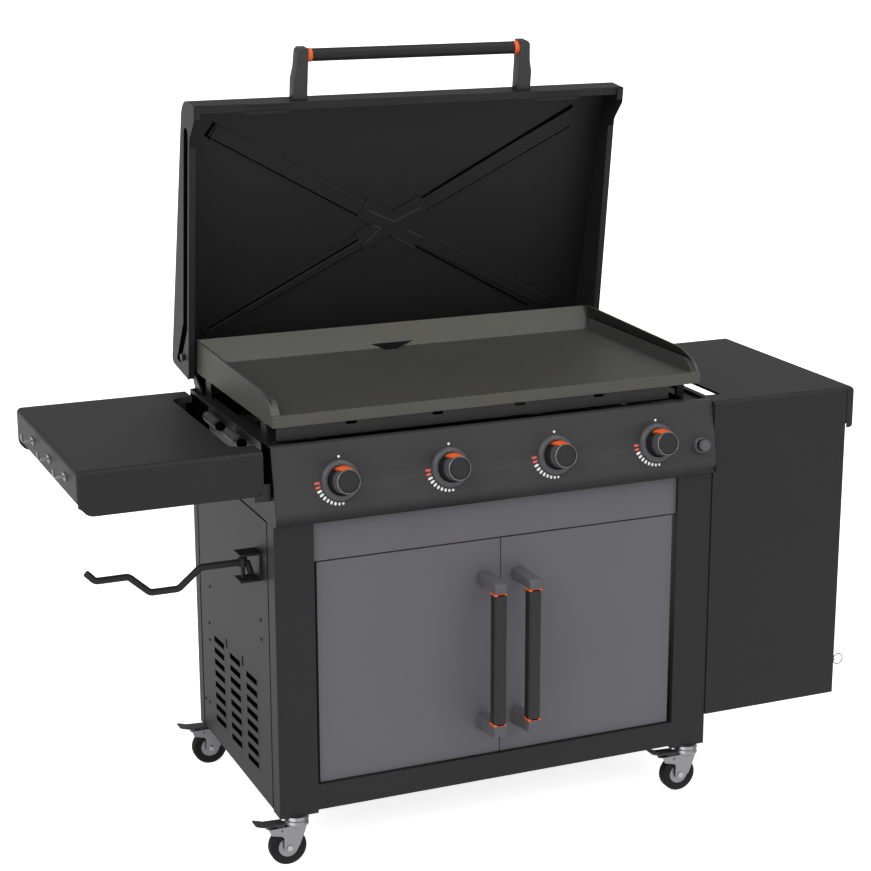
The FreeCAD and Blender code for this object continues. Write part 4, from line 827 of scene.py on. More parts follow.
class Repeater:
    """Sets a small form at many places with Geometry Nodes."""

    INPUTS = (
        ("Geometry", "NodeSocketGeometry"),
        ("Form", "NodeSocketObject"),
        ("Size", "NodeSocketFloat"),
        ("Finish", "NodeSocketMaterial"),
    )

    def __init__(self) -> None:
        """Build the node tree."""
        self.tree = bpy.data.node_groups.new("repeat", "GeometryNodeTree")
        face = self.tree.interface
        self.inputs = {
            word: face.new_socket(word, in_out="INPUT", socket_type=kind).identifier
            for word, kind in self.INPUTS
        }
        face.new_socket("Geometry", in_out="OUTPUT", socket_type="NodeSocketGeometry")
        given = self._node("NodeGroupInput")
        form = self._node("GeometryNodeObjectInfo", Object=given.outputs["Form"])
        size = self._node("ShaderNodeVectorMath")
        size.operation = "SCALE"
        self.tree.links.new(self._attribute("stretch"), size.inputs[0])
        self.tree.links.new(given.outputs["Size"], size.inputs["Scale"])
        rotation = self._node("FunctionNodeEulerToRotation", Euler=self._attribute("turn"))
        spread = self._node(
            "GeometryNodeInstanceOnPoints",
            Points=given.outputs["Geometry"],
            Instance=form.outputs["Geometry"],
            Rotation=rotation.outputs[0],
            Scale=size.outputs[0],
        )
        whole = self._node("GeometryNodeRealizeInstances", Geometry=spread.outputs[0])
        painted = self._node(
            "GeometryNodeSetMaterial", Geometry=whole.outputs[0], Material=given.outputs["Finish"]
        )
        self._node("NodeGroupOutput", Geometry=painted.outputs[0])

    def _node(self, kind: str, **links: bpy.types.NodeSocket) -> bpy.types.Node:
        """Add a node.

        Args:
            kind: The node's type name.
            **links: Inputs by name, with the outputs that feed them.

        Returns:
            The node.
        """
        node = self.tree.nodes.new(kind)
        for word, output in links.items():
            self.tree.links.new(output, node.inputs[word])
        return node

    def _attribute(self, word: str) -> bpy.types.NodeSocket:
        """Add a node that reads a vector attribute.

        Args:
            word: The attribute's name.

        Returns:
            Its value.
        """
        node = self._node("GeometryNodeInputNamedAttribute")
        node.data_type = "FLOAT_VECTOR"
        node.inputs["Name"].default_value = word
        return next(item for item in node.outputs if item.name == "Attribute" and item.enabled)

    def spread(
        self,
        form: Form,
        places: Sequence[Matrix],
        finish: bpy.types.Material,
        stretches: Sequence[Point] | None = None,
        size: float = 1.0,
    ) -> bpy.types.Mesh:
        """Set a form at every place.

        Args:
            form: The form, drawn about its own origin and used up.
            places: Where each copy stands.
            finish: The copies' material.
            stretches: How much each copy is scaled along its own axes.
            size: How much all of them are scaled.

        Returns:
            One plain mesh with every copy in it.
        """
        template = linked("form", mesh_of(form, "form"))
        mesh = bpy.data.meshes.new("places")
        mesh.from_pydata([place.translation for place in places], [], [])
        turns = mesh.attributes.new("turn", "FLOAT_VECTOR", "POINT")
        scales = mesh.attributes.new("stretch", "FLOAT_VECTOR", "POINT")
        for index, place in enumerate(places):
            turns.data[index].vector = place.to_euler()
            scales.data[index].vector = stretches[index] if stretches else (1.0, 1.0, 1.0)
        holder = linked("places", mesh)
        modifier = holder.modifiers.new("repeat", "NODES")
        modifier.node_group = self.tree
        modifier[self.inputs["Form"]] = template
        modifier[self.inputs["Size"]] = size
        modifier[self.inputs["Finish"]] = finish
        result = settled(holder)
        bpy.data.objects.remove(template)
        return result


class Shop:
    """Makes finished pieces and sets them on the frame's bodies."""

    def __init__(self, frame: dict) -> None:
        """Keep the frame.
        """
        self.nodes: dict[str, bpy.types.Object] = frame["nodes"]
        self.finishes = Finishes()
        self.repeater = Repeater()
        bodies = frame["record"]["behaviour"]["bodies"]
        self.bodies = {node: body for body, nodes in bodies.items() for node in nodes}
        self.slots = {part["node"]: part["material_slot"] for part in frame["record"]["subparts"]}

    def piece(
        self,
        name: str,
        form: Form | bpy.types.Mesh,
        *finishes: bpy.types.Material,
        body: str = "station",
        slot: str = "frame",
        replaced: Sequence[str] = (),
        crease: float = 35.0,
    ) -> None:
        """Finish a piece and set it on its body.

        Args:
            name: The piece's name.
            form: Its form in the frame's axes, used up.
            *finishes: Its materials, unless the mesh has them already.
            body: The body that it rides on.
            slot: The record's material slot for its finish; not used.
            replaced: The frame's nodes that it stands for.
            crease: The turn between two faces above which their edge is sharp, in degrees.
        """
        mesh = mesh_of(form, name) if isinstance(form, Form) else form
        for finish in finishes:
            mesh.materials.append(finish)
        mesh.shade_smooth()
        mesh.set_sharp_from_angle(angle=math.radians(crease))
        item = linked(name, mesh)
        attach(item, body)
        if replaced:
            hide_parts(*replaced)
        LOG.info("%s: %d faces on %s", name, len(mesh.polygons), body)

    def instead(
        self,
        node: str,
        ending: str,
        form: Form | bpy.types.Mesh,
        finish: bpy.types.Material,
        crease: float,
    ) -> None:
        """Stand a changed copy in a node's place.

        Args:
            node: The frame's node.
            ending: What the piece's name adds to the node's.
            form: The changed copy.
            finish: Its material.
            crease: The turn above which its edges are sharp, in degrees.
        """
        self.piece(f"{node}_{ending}", form, finish, body=self.bodies[node],
                   slot=self.slots[node], replaced=[node], crease=crease)

    def merged(self, node: str) -> Form:
        """Copy a node's mesh and merge its doubled points.

        Args:
            node: The frame's node.

        Returns:
            The copy.
        """
        form = bmesh.new()
        form.from_mesh(self.nodes[node].data)
        bmesh.ops.remove_doubles(form, verts=form.verts, dist=MERGE)
        return form

    def eased(self, node: str, width: float, finish: bpy.types.Material) -> None:
        """Stand a copy with eased edges in a node's place.

        Args:
            node: The frame's node.
            width: How wide its edges are eased, in millimetres.
            finish: The copy's material.
        """
        form = self.merged(node)
        flat = math.radians(0.5)
        bmesh.ops.dissolve_limit(form, angle_limit=flat, verts=form.verts, edges=form.edges)
        mesh = mesh_of(form, f"{node}_eased")
        mesh.materials.clear()
        holder = linked("easing", mesh)
        bevel = holder.modifiers.new("bevel", "BEVEL")
        bevel.width = width * MM
        bevel.segments = 3
        bevel.limit_method = "ANGLE"
        bevel.angle_limit = math.radians(30)
        result = settled(holder)
        for attribute in ("custom_normal", "sharp_face"):
            if attribute in result.attributes:
                result.attributes.remove(result.attributes[attribute])
        self.instead(node, "eased", result, finish, 30.0)

    def reshaped(
        self,
        node: str,
        cuts: Iterable[tuple[Vector, Vector]],
        move: Callable[[Vector], Vector],
        finish: bpy.types.Material,
    ) -> None:
        """Stand a copy with some of its points moved in a node's place.

        Args:
            node: The frame's node.
            cuts: Planes that add edges first, each by a point on it and its normal.
            move: Gives the new place of a point.
            finish: The copy's material.
        """
        form = self.merged(node)
        for spot, normal in cuts:
            whole = [*form.verts, *form.edges, *form.faces]
            bmesh.ops.bisect_plane(form, geom=whole, dist=1e-6, plane_co=spot, plane_no=normal)
        for vert in form.verts:
            vert.co = move(vert.co)
        bmesh.ops.remove_doubles(form, verts=form.verts, dist=MERGE)
        bmesh.ops.dissolve_degenerate(form, edges=form.edges, dist=MERGE)
        self.instead(node, "shaped", form, finish, 32.0)


@dataclass
class Assembly:
    """A sub-assembly: it holds its sizes in millimetres and dresses its pieces."""

    shop: Shop

    @property
    def finishes(self) -> Finishes:
        """Give the shop's finishes."""
        return self.shop.finishes

    def build(self) -> None:
        """Build the sub-assembly's pieces."""
        raise NotImplementedError


@dataclass
class Carcass(Assembly):
    """Frame, panels, firebox, shelves and swing arm: finishes, screws, seams and louvres."""

    side: float = 475.5
    head: float = 3.6
    side_screws: Outline = (
        (437, 443), (449, 358), (94, 484), (450, 320), (92.5, 444), (493, 170), (465, 172),
    )
    rear_face: float = 542.0
    rear_levels: tuple[float, ...] = (128.0, 640.0, 680.0)
    rear_reach: float = 436.0
    flange: float = 42.0
    rear_seam: float = 507.0
    seam_level: float = 699.3
    seam: float = 3.0
    seam_high: tuple[float, float] = (0.05, 0.35)
    louvre_first: float = 127.5
    louvre_long: float = 69.0
    louvre_step: float = 109.5
    louvre_columns: int = 3
    louvre_low: float = 158.8
    louvre_pitch: float = 25.5
    louvre_rows: int = 8
    louvre_below: float = 14.0
    louvre_above: float = 193.0
    louvre_foot: tuple[float, float] = (-4.7, -8.3)
    louvre_head: tuple[float, float] = (8.6, 4.4)
    louvre_stile: float = 6.0
    hole_high: tuple[float, float] = (0.02, 0.1)
    skin_high: float = 0.3
    slits: tuple[float, ...] = (222.0, 330.0)
    slit_high: tuple[float, float] = (0.05, 0.3)
    shelf_back: float = 524.2
    griddle_back: float = 543.0
    shade_sheet_thick: float = 1.2
    barrels: tuple[tuple[float, float], ...] = ((134.0, 96.0), (271.0, 98.0))
    barrel_level: float = 831.0
    barrel_out: float = 13.0
    panel_foot: float = 716.0
    arm_pin: float = -507.0
    arm_along: float = 100.0
    arm_level: float = 606.0
    arm_rod: float = 6.8
    arm_bend: float = 14.0
    arm_eye: tuple[float, float, float] = (4.4, 8.8, 8.5)
    tail_rod: float = 6.2
    tail_bend: float = 8.0

    # Nodes that take the grips' dark tone instead of the finish of their slot.
    DARK = ("wind_guard", "lid_hinge_brackets", "shelf_brackets", "griddle_feet")
    # How far the panel's foot is pushed back at each height over its fold, in millimetres.
    ROLL = ((16.0, 0.0), (14.0, 0.05), (10.0, 0.3), (6.0, 0.9), (3.0, 1.6), (0.0, 2.5),
            (-3.0, 2.6), (-6.0, 2.9), (-9.0, 3.4), (-12.0, 1.6), (-15.0, 0.0))
    # A slit's corners, by their distance behind its place and their level.
    SLIT = ((-7.5, 345), (-1.0, 344), (2.0, 363), (-4.5, 364))

    def paint(self) -> None:
        """Give each carried-over node the finish of its slot."""
        for node, slot in self.shop.slots.items():
            materials = self.shop.nodes[node].data.materials
            materials.clear()
            dark = node in self.DARK
            materials.append(self.finishes.grip if dark else self.finishes.by_slot[slot])

    def screws(self) -> None:
        """Set pan heads with a recess on the side panels and the rear rails."""
        size = self.head
        outline = ((0.0, 0.9), (size * 0.3, 0.9), (size * 0.36, 1.9), (size * 0.7, 1.8),
                   (size * 0.93, 1.1), (size, 0.0))
        places = [standing(at(sign * self.side, along, level), Vector((sign, 0, 0)))
                  for along, level in self.side_screws for sign in (-1, 1)]
        places += [standing(at(sign * self.rear_reach, self.rear_face, level), BACK)
                   for level in self.rear_levels for sign in (-1, 1)]
        head = turned(outline, Matrix.Identity(4), 14)
        mesh = self.shop.repeater.spread(head, places, self.finishes.coat)
        self.shop.piece("panel_screws", mesh)

    def on_side(self, sign: int) -> Matrix:
        """Stand plans of depth and level on the left side panel, at -1, or the right, at 1."""
        return Matrix.Translation(at(sign * self.side, 0, 0)) @ sideways(sign)

    def seams(self) -> None:
        """Lay the dark joints between the side panels, the legs and the firebox."""
        lines = (
            [(470.0, self.seam_level), (self.flange, self.seam_level), (self.flange, 108.5)],
            [(self.rear_seam, 690.0), (self.rear_seam, 106.0)],
        )
        forms = [raised(ribbon(line, self.seam), *self.seam_high, self.on_side(sign))
                 for line in lines for sign in (-1, 1)]
        self.shop.piece("side_seams", joined(*forms), self.finishes.gap)

    def louvres(self) -> None:
        """Lay the louvres' face: black openings in a skin of the side panels' paint."""
        dark, skin = [], bmesh.new()
        low, high = self.louvre_low - self.louvre_below, self.louvre_low + self.louvre_above
        for sign in (-1, 1):
            place = self.on_side(sign)
            for column in range(self.louvre_columns):
                front = self.louvre_first + column * self.louvre_step
                back = front + self.louvre_long
                hole = [(front - 3, low + 2), (back + 3, low + 2), (back + 3, high - 4),
                        (front - 3, high - 4)]
                dark.append(raised(hole, *self.hole_high, place))
                for strip in self.strips(front, back, low, high):
                    corners = [
                        skin.verts.new(place @ Vector((y * MM, z * MM, self.skin_high * MM)))
                        for y, z in strip
                    ]
                    skin.faces.new(corners[::sign])
            for slit in self.slits:
                plan = [(slit + along, level) for along, level in self.SLIT]
                dark.append(raised(plan, *self.slit_high, place))
        self.shop.piece("louvre_openings", joined(*dark), self.finishes.gap)
        self.shop.piece("louvre_skin", skin, self.finishes.coat)

    def strips(self, front: float, back: float, low: float, high: float) -> list[Outline]:
        """Draw one column's skin: the strips between its openings and beside them.

        Args:
            front: The openings' front end.
            back: Their back end.
            low: The skin's lowest level.
            high: Its highest level.

        Returns:
            The corners of each strip.
        """
        edges = [(low, low)]
        for row in range(self.louvre_rows):
            level = self.louvre_low + row * self.louvre_pitch
            edges += [(level + ends[0], level + ends[1])
                      for ends in (self.louvre_foot, self.louvre_head)]
        edges.append((high, high))
        fields = [[(front, a[0]), (back, a[1]), (back, b[1]), (front, b[0])]
                  for a, b in zip(edges[::2], edges[1::2])]
        wide = self.louvre_stile
        return fields + [[(x, low), (x + wide, low), (x + wide, high), (x, high)]
                         for x in (front - wide, back)]

    def shade_sheets(self) -> None:
        """Fit black sheets that paint the shade beside the panel, behind shelf and griddle, under
        the shelf and on the slot's lip, where no light comes through.
        """
        left, thick = self.on_side(-1), self.shade_sheet_thick
        beside_panel = [(9.0, 853), (-7.0, 772), (-4.5, 764), (4, 757), (60, 749), (60, 853)]
        behind_shelf = [(-512, 771), (-476, 771), (-476, 840), (-512, 840)]
        behind_griddle = [(-463, 844), (463, 844), (463, 893), (-463, 893)]
        under_shelf = [(405, 786), (535, 786), (535, 842), (405, 842)]
        slot_lip = [(512.8, 56), (521, 56), (521, 472), (512.8, 472)]
        forms = (
            raised(beside_panel, 0.05, thick, left),
            raised(behind_shelf, 0.0, thick, standing(at(0, self.shelf_back, 0), -BACK)),
            raised(behind_griddle, 0.0, thick, standing(at(0, self.griddle_back, 0), -BACK)),
            raised(under_shelf, 0.05, 0.4, left),
            raised(slot_lip, 849.25, 849.5, STATION),
        )
        self.shop.piece("dark_closers", joined(*forms), self.finishes.gap)

    def latches(self) -> None:
        """Turn the latch barrels' sleeves: a dark stepped end and a grey tube."""
        forms = []
        for start, long in self.barrels:
            outline = ((0.0, 0.0), (6.0, 0.0), (8.2, 1.5), (8.4, 27.0), (9.8, 27.6), (10.5, 28.6),
                       (10.5, long - 1.0), (9.5, long), (0.0, long))
            spot = at(-self.side - self.barrel_out, start, self.barrel_level)
            place = standing(spot, BACK)
            forms.append(turned(outline, place, 32, (0,) * 4 + (1,) * 4))
        self.shop.piece("latch_sleeves", joined(*forms), self.finishes.gap, self.finishes.fascia,
                        slot="bracket")

    def rolled_panel(self) -> None:
        """Round the control panel's foot, which the frame folds in three flats."""

        def rolled(spot: Vector) -> Vector:
            """Push a point of the foot back along its rounded section.

            Args:
                spot: The point.

            Returns:
                Its new place.
            """
            rise = spot.z / MM - self.panel_foot
            for (high, more), (low, less) in zip(self.ROLL, self.ROLL[1:]):
                if low <= rise <= high:
                    share = (high - rise) / (high - low)
                    return spot + Vector((0, (more + (less - more) * share) * MM, 0))
            return spot

        cuts = [(at(0, 0, self.panel_foot + rise), UP) for rise, _ in self.ROLL]
        self.shop.reshaped("control_panel", cuts, rolled, self.finishes.panel)

    def arm(self) -> None:
        """Bend the swing arm: an eye on the bracket's pin, a short tail and the long rod."""
        pin, along, level = self.arm_pin, self.arm_along, self.arm_level
        bore, out, half = self.arm_eye
        eye = turned(((bore, -half), (out, -half), (out, half), (bore, half)),
                     standing(at(pin, along, level), UP, BACK), 32)
        tail = [(-501.5, along, level), (-490.5, along, level), (-490.5, along, 582)]
        rod = [(pin - 7.5, along, level), (-592, along, level), (-636, along, level - 37),
               (-692, along, level - 37), (-733, along, level), (-797, along, level),
               (-814, along, level + 18)]
        forms = (eye, swept(bent(tail, self.tail_bend), self.tail_rod, STATION),
                 swept(bent(rod, self.arm_bend), self.arm_rod, STATION))
        self.shop.piece("swing_arm_bent", joined(*forms), self.finishes.coat, body="arm",
                        replaced=["swing_arm"])

    def build(self) -> None:
        """Dress the carcass."""
        self.arm()
        self.paint()
        self.screws()
        self.seams()
        self.louvres()
        self.shade_sheets()
        self.latches()
        self.rolled_panel()


@dataclass
class Lid(Assembly):
    """Painted shadow and highlight lines along the folds pressed into the open lid, its lip's tabs,
    and painted shade in the cheeks' channels.
    """

    pivot: tuple[float, float] = (563.0, 912.0)
    opened: float = 82.8
    half: float = 479.0
    cheek: float = 1.4
    channel_end: float = 14.0
    channel_high: tuple[float, float] = (0.0, 0.3)
    tab_high: tuple[float, float] = (-60.0, -58.5)
    fold_top: float = 0.3
    # The skin's inside in the closed lid: where it starts, its level a run further on, its slope.
    skin_start: float = 20.0
    skin_run: float = 19.0
    skin_level: float = 86.775
    skin_slope: float = math.atan2(68.0, 586.6)

    # Lines of painted shadow beside the pressed cross's folds, then lines of painted highlight on
    # them.
    # Each line's width, and its points across and along the skin.
    PAINTED_SHADOW_LINES = (
        (4.0, ((-408, -516), (-426, -488))), (2.6, ((-426, -489), (-73, -287))),
        (2.6, ((8, -241), (64, -208), (356, -41))), (4.2, ((404, -515), (4, -286))),
        (3.6, ((-405, -52), (-58, -243), (-45, -259))), (1.2, ((404, -468), (77, -291))),
        (1.2, ((-59, -217), (-328, -75))), (2.2, ((-58, -318), (-75, -284))),
        (6.0, ((-49, -262), (-43, -262))),
    )
    PAINTED_HIGHLIGHT_LINES = (
        (1.3, ((-404, -512), (-58, -314))), (3.6, ((-54, -300), (6, -271), (67, -301))),
        (3.4, ((-42, -266), (-25, -258), (-60, -222))), (3.6, ((37, -250), (74, -230))),
        (3.0, ((5, -238), (61, -206))), (1.3, ((81, -241), (418, -45))),
        (1.2, ((-401, -48), (-55, -239))),
    )

    def opening(self) -> Matrix:
        """Turn the lid's closed axes, drawn from its pivot, to the frame."""
        turn = Matrix.Rotation(math.radians(-self.opened), 4, "X")
        return Matrix.Translation(at(0, *self.pivot)) @ turn

    def skin(self) -> Matrix:
        """Find the plane of the skin's inside.

        Returns:
            The transform from its width, its depth and the height over it to the frame.
        """
        level = self.skin_level - self.skin_run * math.tan(self.skin_slope)
        start = Matrix.Translation(Vector((0, self.skin_start, level)) * MM)
        return self.opening() @ start @ Matrix.Rotation(self.skin_slope, 4, "X")

    def ribs(self) -> None:
        """Line the pressed cross: painted shadow on the folds below, painted highlight where they
        catch light.
        """
        for name, lines, low, finish in (
            ("lid_folds_dark", self.PAINTED_SHADOW_LINES, -3.9, self.finishes.gap),
            ("lid_folds_pale", self.PAINTED_HIGHLIGHT_LINES, -5.1, self.finishes.fascia),
        ):
            forms = [raised(ribbon(line, wide), low, self.fold_top, self.skin())
                     for wide, line in lines]
            self.shop.piece(name, joined(*forms), finish, body="lid")

    def tabs(self) -> None:
        """Cut the two shallow tabs on the lip's inner edge."""
        plan = ((380, -533), (364, -525.6), (282, -525.6), (266, -533))
        forms = [raised([(sign * across, along) for across, along in plan], *self.tab_high,
                        self.opening()) for sign in (-1, 1)]
        self.shop.piece("lid_lip_tabs", joined(*forms), self.finishes.coat, body="lid")

    def channels(self) -> None:
        """Paint the shade in the channels pressed into the cheeks with black strips."""
        end = self.channel_end
        outline = [(-478, -24), (-68, -24), (20, 22), (20, 50), (-75, 4), (-478, 4)]
        outline += [(-478 + end * math.cos(turn), -10 + end * math.sin(turn))
                    for turn in map(math.radians, (120, 150, 180, 210, 240))]
        forms = []
        for sign in (-1, 1):
            face = Matrix.Translation(Vector((sign * (self.half - self.cheek), 0, 0)) * MM)
            place = self.opening() @ face @ sideways(sign)
            forms.append(raised(outline, *self.channel_high, place))
        self.shop.piece("cheek_channels", joined(*forms), self.finishes.gap, body="lid")

    def build(self) -> None:
        """Build the lid's details."""
        self.ribs()
        self.tabs()
        self.channels()


@dataclass
class ControlPanel(Assembly):
    """Knobs, bezels, igniter and the dial marks on the sloping panel."""

    step: float = 227.3
    level: float = 779.0
    igniter: tuple[float, float] = (440.0, 764.0)
    bezel: float = 40.0
    skirt: float = 27.5
    knob: float = 24.6
    long: float = 48.0
    marks: int = 10
    red_marks: int = 2
    dial_start: float = 181.0
    dial_sweep: float = 91.2
    # How far out a mark starts and ends: the first one's, and the change to the last one.
    mark_inner: tuple[float, float] = (41.8, 0.6)
    mark_outer: tuple[float, float] = (52.8, -5.8)
    mark_wide: float = 4.5
    dot_out: float = 45.8
    print_high: tuple[float, float] = (0.02, 0.22)

    def middles(self) -> list[float]:
        """Tell how far across each knob stands."""
        return [self.step * (index - 1.5) for index in range(4)]

    def bezels(self) -> None:
        """Make the rings round the knobs and the igniter's collar."""
        inner, outer = self.skirt + 1.0, self.bezel
        ring = ((inner, 0.0), (inner, 7.6), (inner + 0.8, 8.6), (inner + 3.4, 9.3),
                (outer - 5.5, 8.7), (outer - 2.8, 7.2), (outer - 1.0, 4.8), (outer, 0.0))
        collar = ((11.6, 0.0), (11.6, 8.4), (12.2, 9.0), (14.0, 9.0), (15.4, 8.0), (16.8, 5.0),
                  (17.0, 0.0))
        forms = [turned(ring, standing(on_panel(across, self.level), PANEL_OUT, PANEL_UP), 72)
                 for across in self.middles()]
        forms.append(turned(collar, standing(on_panel(*self.igniter), PANEL_OUT, PANEL_UP)))
        self.shop.piece("bezel_rings", joined(*forms), self.finishes.bezel, slot="bezel",
                        replaced=["knob_bezels"])

    def knob_form(self, place: Matrix) -> Form:
        """Turn a knob: dark skirt and barrel, grey head, bright ring and a dished dark face.

        Args:
            place: Where it stands.

        Returns:
            Its form.
        """
        size, tip = self.knob, self.long
        outline = ((4.06, 2.5), (self.skirt, 2.5), (self.skirt, 6.4), (self.skirt - 0.8, 7.4),
                   (size + 1.0, 10.6), (size + 0.6, 13.0), (size + 0.4, 25.0), (size - 0.5, 25.6),
                   (size - 0.3, 27.0), (size, 44.4), (size - 0.5, 46.2), (size - 1.5, tip - 0.3),
                   (size - 1.8, tip), (size - 2.3, tip), (size - 2.6, tip - 0.4),
                   (size - 3.0, tip - 1.7), (size - 5.2, tip - 1.7), (size - 5.8, tip - 1.1),
                   (size - 7.0, tip - 0.9), (0.0, tip - 0.9))
        dark, grey, bright = 0, 1, 2
        return turned(outline, place, 64, (dark,) * 7 + (grey,) * 4 + (bright,) * 3 + (dark,) * 5)

    def pointer(self, place: Matrix) -> Form:
        """Loft the pointer: a ramp on the knob's crown from its skirt to its bright ring.

        Args:
            place: Where the knob stands.

        Returns:
            Its form.
        """
        stations = ((10.8, 28.0, 31.0), (18.0, 29.0, 30.5), (34.0, 26.8, 29.5), (43.4, 25.6, 29.0),
                    (45.6, 24.7, 28.5))
        steps, root = 8, self.knob - 5.2
        rows = []
        for depth, radius, reach in stations:
            turns = [math.radians(90.0 + reach * (1.0 - 2.0 * step / steps))
                     for step in range(steps + 1)]
            ring = [(radius, turn) for turn in turns] + [(root, turn) for turn in turns[::-1]]
            rows.append([(size * math.cos(turn), size * math.sin(turn), depth)
                         for size, turn in ring])
        return skinned(rows, place, Ends.CAPPED)

    def knobs(self) -> None:
        """Make the four knobs with their pointers."""
        finishes = self.finishes
        for index, across in enumerate(self.middles(), start=1):
            place = standing(on_panel(across, self.level), PANEL_OUT, PANEL_UP)
            body = f"knob_body_{index}"
            self.shop.piece(f"knob_turned_{index}", self.knob_form(place), finishes.plastic,
                            finishes.bezel, finishes.zinc, body=body, slot="knob",
                            replaced=[f"knob_{index}"])
            self.shop.piece(f"knob_pointer_{index}", self.pointer(place), finishes.orange,
                            body=body, slot="knob")

    def dials(self) -> None:
        """Print the marks beside each knob: bars that shrink towards the foot, and a dot on top."""
        bars, reds, dots = ([], []), ([], []), []
        for across in self.middles():
            centre = on_panel(across, self.level)
            for mark in range(self.marks):
                share = mark / (self.marks - 1)
                turn = math.radians(self.dial_start + self.dial_sweep * share)
                inner, outer = (first + change * share
                                for first, change in (self.mark_inner, self.mark_outer))
                out = Vector((math.cos(turn), 0, 0)) + PANEL_UP * math.sin(turn)
                spot = centre + out * (inner + outer) / 2 * MM
                places, sizes = reds if mark < self.red_marks else bars
                places.append(standing(spot, PANEL_OUT, PANEL_OUT.cross(out)))
                sizes.append((outer - inner, self.mark_wide, 1.0))
            dots.append(standing(centre + PANEL_UP * self.dot_out * MM, PANEL_OUT, PANEL_UP))
        bar, dot = rounded_plan(1.0, 1.0, 0.28, 3), rounded_plan(5.0, 5.0, 2.49, 6)
        for name, plan, places, sizes, finish in (
            ("dial_marks", bar, *bars, self.finishes.white),
            ("dial_marks_hot", bar, *reds, self.finishes.red),
            ("dial_dots", dot, dots, None, self.finishes.white),
        ):
            form = raised(plan, *self.print_high, Matrix.Identity(4))
            self.shop.piece(name, self.shop.repeater.spread(form, places, finish, sizes))

    def button(self) -> None:
        """Turn the igniter's button with its domed face."""
        place = standing(on_panel(*self.igniter), PANEL_OUT, PANEL_UP)
        outline = ((0.0, -14.0), (5.0, -14.0), (5.0, 5.0), (8.1, 5.4), (8.3, 14.6), (11.2, 14.6),
                   (11.7, 15.2), (11.7, 22.0), (11.1, 23.4), (9.8, 24.0), (0.0, 24.6))
        dark, grey = 0, 1
        form = turned(outline, place, 40, (dark,) * 4 + (grey,) * 6)
        self.shop.piece("igniter_cap", form, self.finishes.plastic, self.finishes.bracket,
                        body="igniter", slot="knob", replaced=["igniter_button"])

    def build(self) -> None:
        """Build everything on the panel."""
        self.bezels()
        self.knobs()
        self.dials()
        self.button()


@dataclass
class Handles(Assembly):
    """Door handles and the lid's handle, with their orange rings."""

    proud: float = 0.7
    ring: float = 3.6
    corner: float = 4.6
    lid_ring: float = 10.0

    def band(self, low: Vector, high: Vector) -> Form:
        """Make a round-cornered band about an upright grip.

        Args:
            low: Its lowest corner.
            high: Its highest corner.

        Returns:
            Its form.
        """
        middle = (low + high) / 2 + Vector((0, self.proud / 2 * MM, 0))
        wide, deep = ((high - low) / MM)[:2]
        plan = rounded_plan(wide + 2 * self.proud, deep + self.proud, self.corner)
        return raised(plan, low.z / MM, high.z / MM, Matrix.Translation((middle.x, middle.y, 0)))

    def door_handles(self) -> None:
        """Ease the door handles' castings and grips, and put a ring at each end of a grip."""
        for side in ("left", "right"):
            self.shop.eased(f"{side}_handle_ends", 1.6, self.finishes.bracket)
            self.shop.eased(f"{side}_handle_grip", 0.8, self.finishes.grip)
            low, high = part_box(f"{side}_handle_grip")
            rise = Vector((0, 0, self.ring * MM))
            top = self.band(Vector((low.x, low.y, high.z)) - rise, high)
            foot = self.band(low, Vector((high.x, high.y, low.z)) + rise)
            self.shop.piece(f"{side}_handle_rings", joined(top, foot), self.finishes.orange,
                            body=f"{side}_door_leaf", slot="knob")

    def lid_handle(self) -> None:
        """Ease the lid's posts and turn the rings at the ends of its grip."""
        self.shop.eased("lid_handle_posts", 1.2, self.finishes.fascia)
        low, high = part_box("lid_handle_grip")
        middle, size = (low + high) / 2, (high.z - low.z) / 2 / MM
        outline = ((size - 0.5, 0.0), (size + 0.5, 0.0), (size + 0.8, 0.5),
                   (size + 0.8, self.lid_ring - 0.5), (size + 0.5, self.lid_ring),
                   (size - 0.5, self.lid_ring))
        rings = [turned(outline, standing(Vector((end, *middle.yz)), Vector((inward, 0, 0))), 40)
                 for end, inward in ((low.x, 1), (high.x, -1))]
        self.shop.piece("lid_handle_rings", joined(*rings), self.finishes.orange, body="lid")

    def build(self) -> None:
        """Build every handle."""
        self.door_handles()
        self.lid_handle()


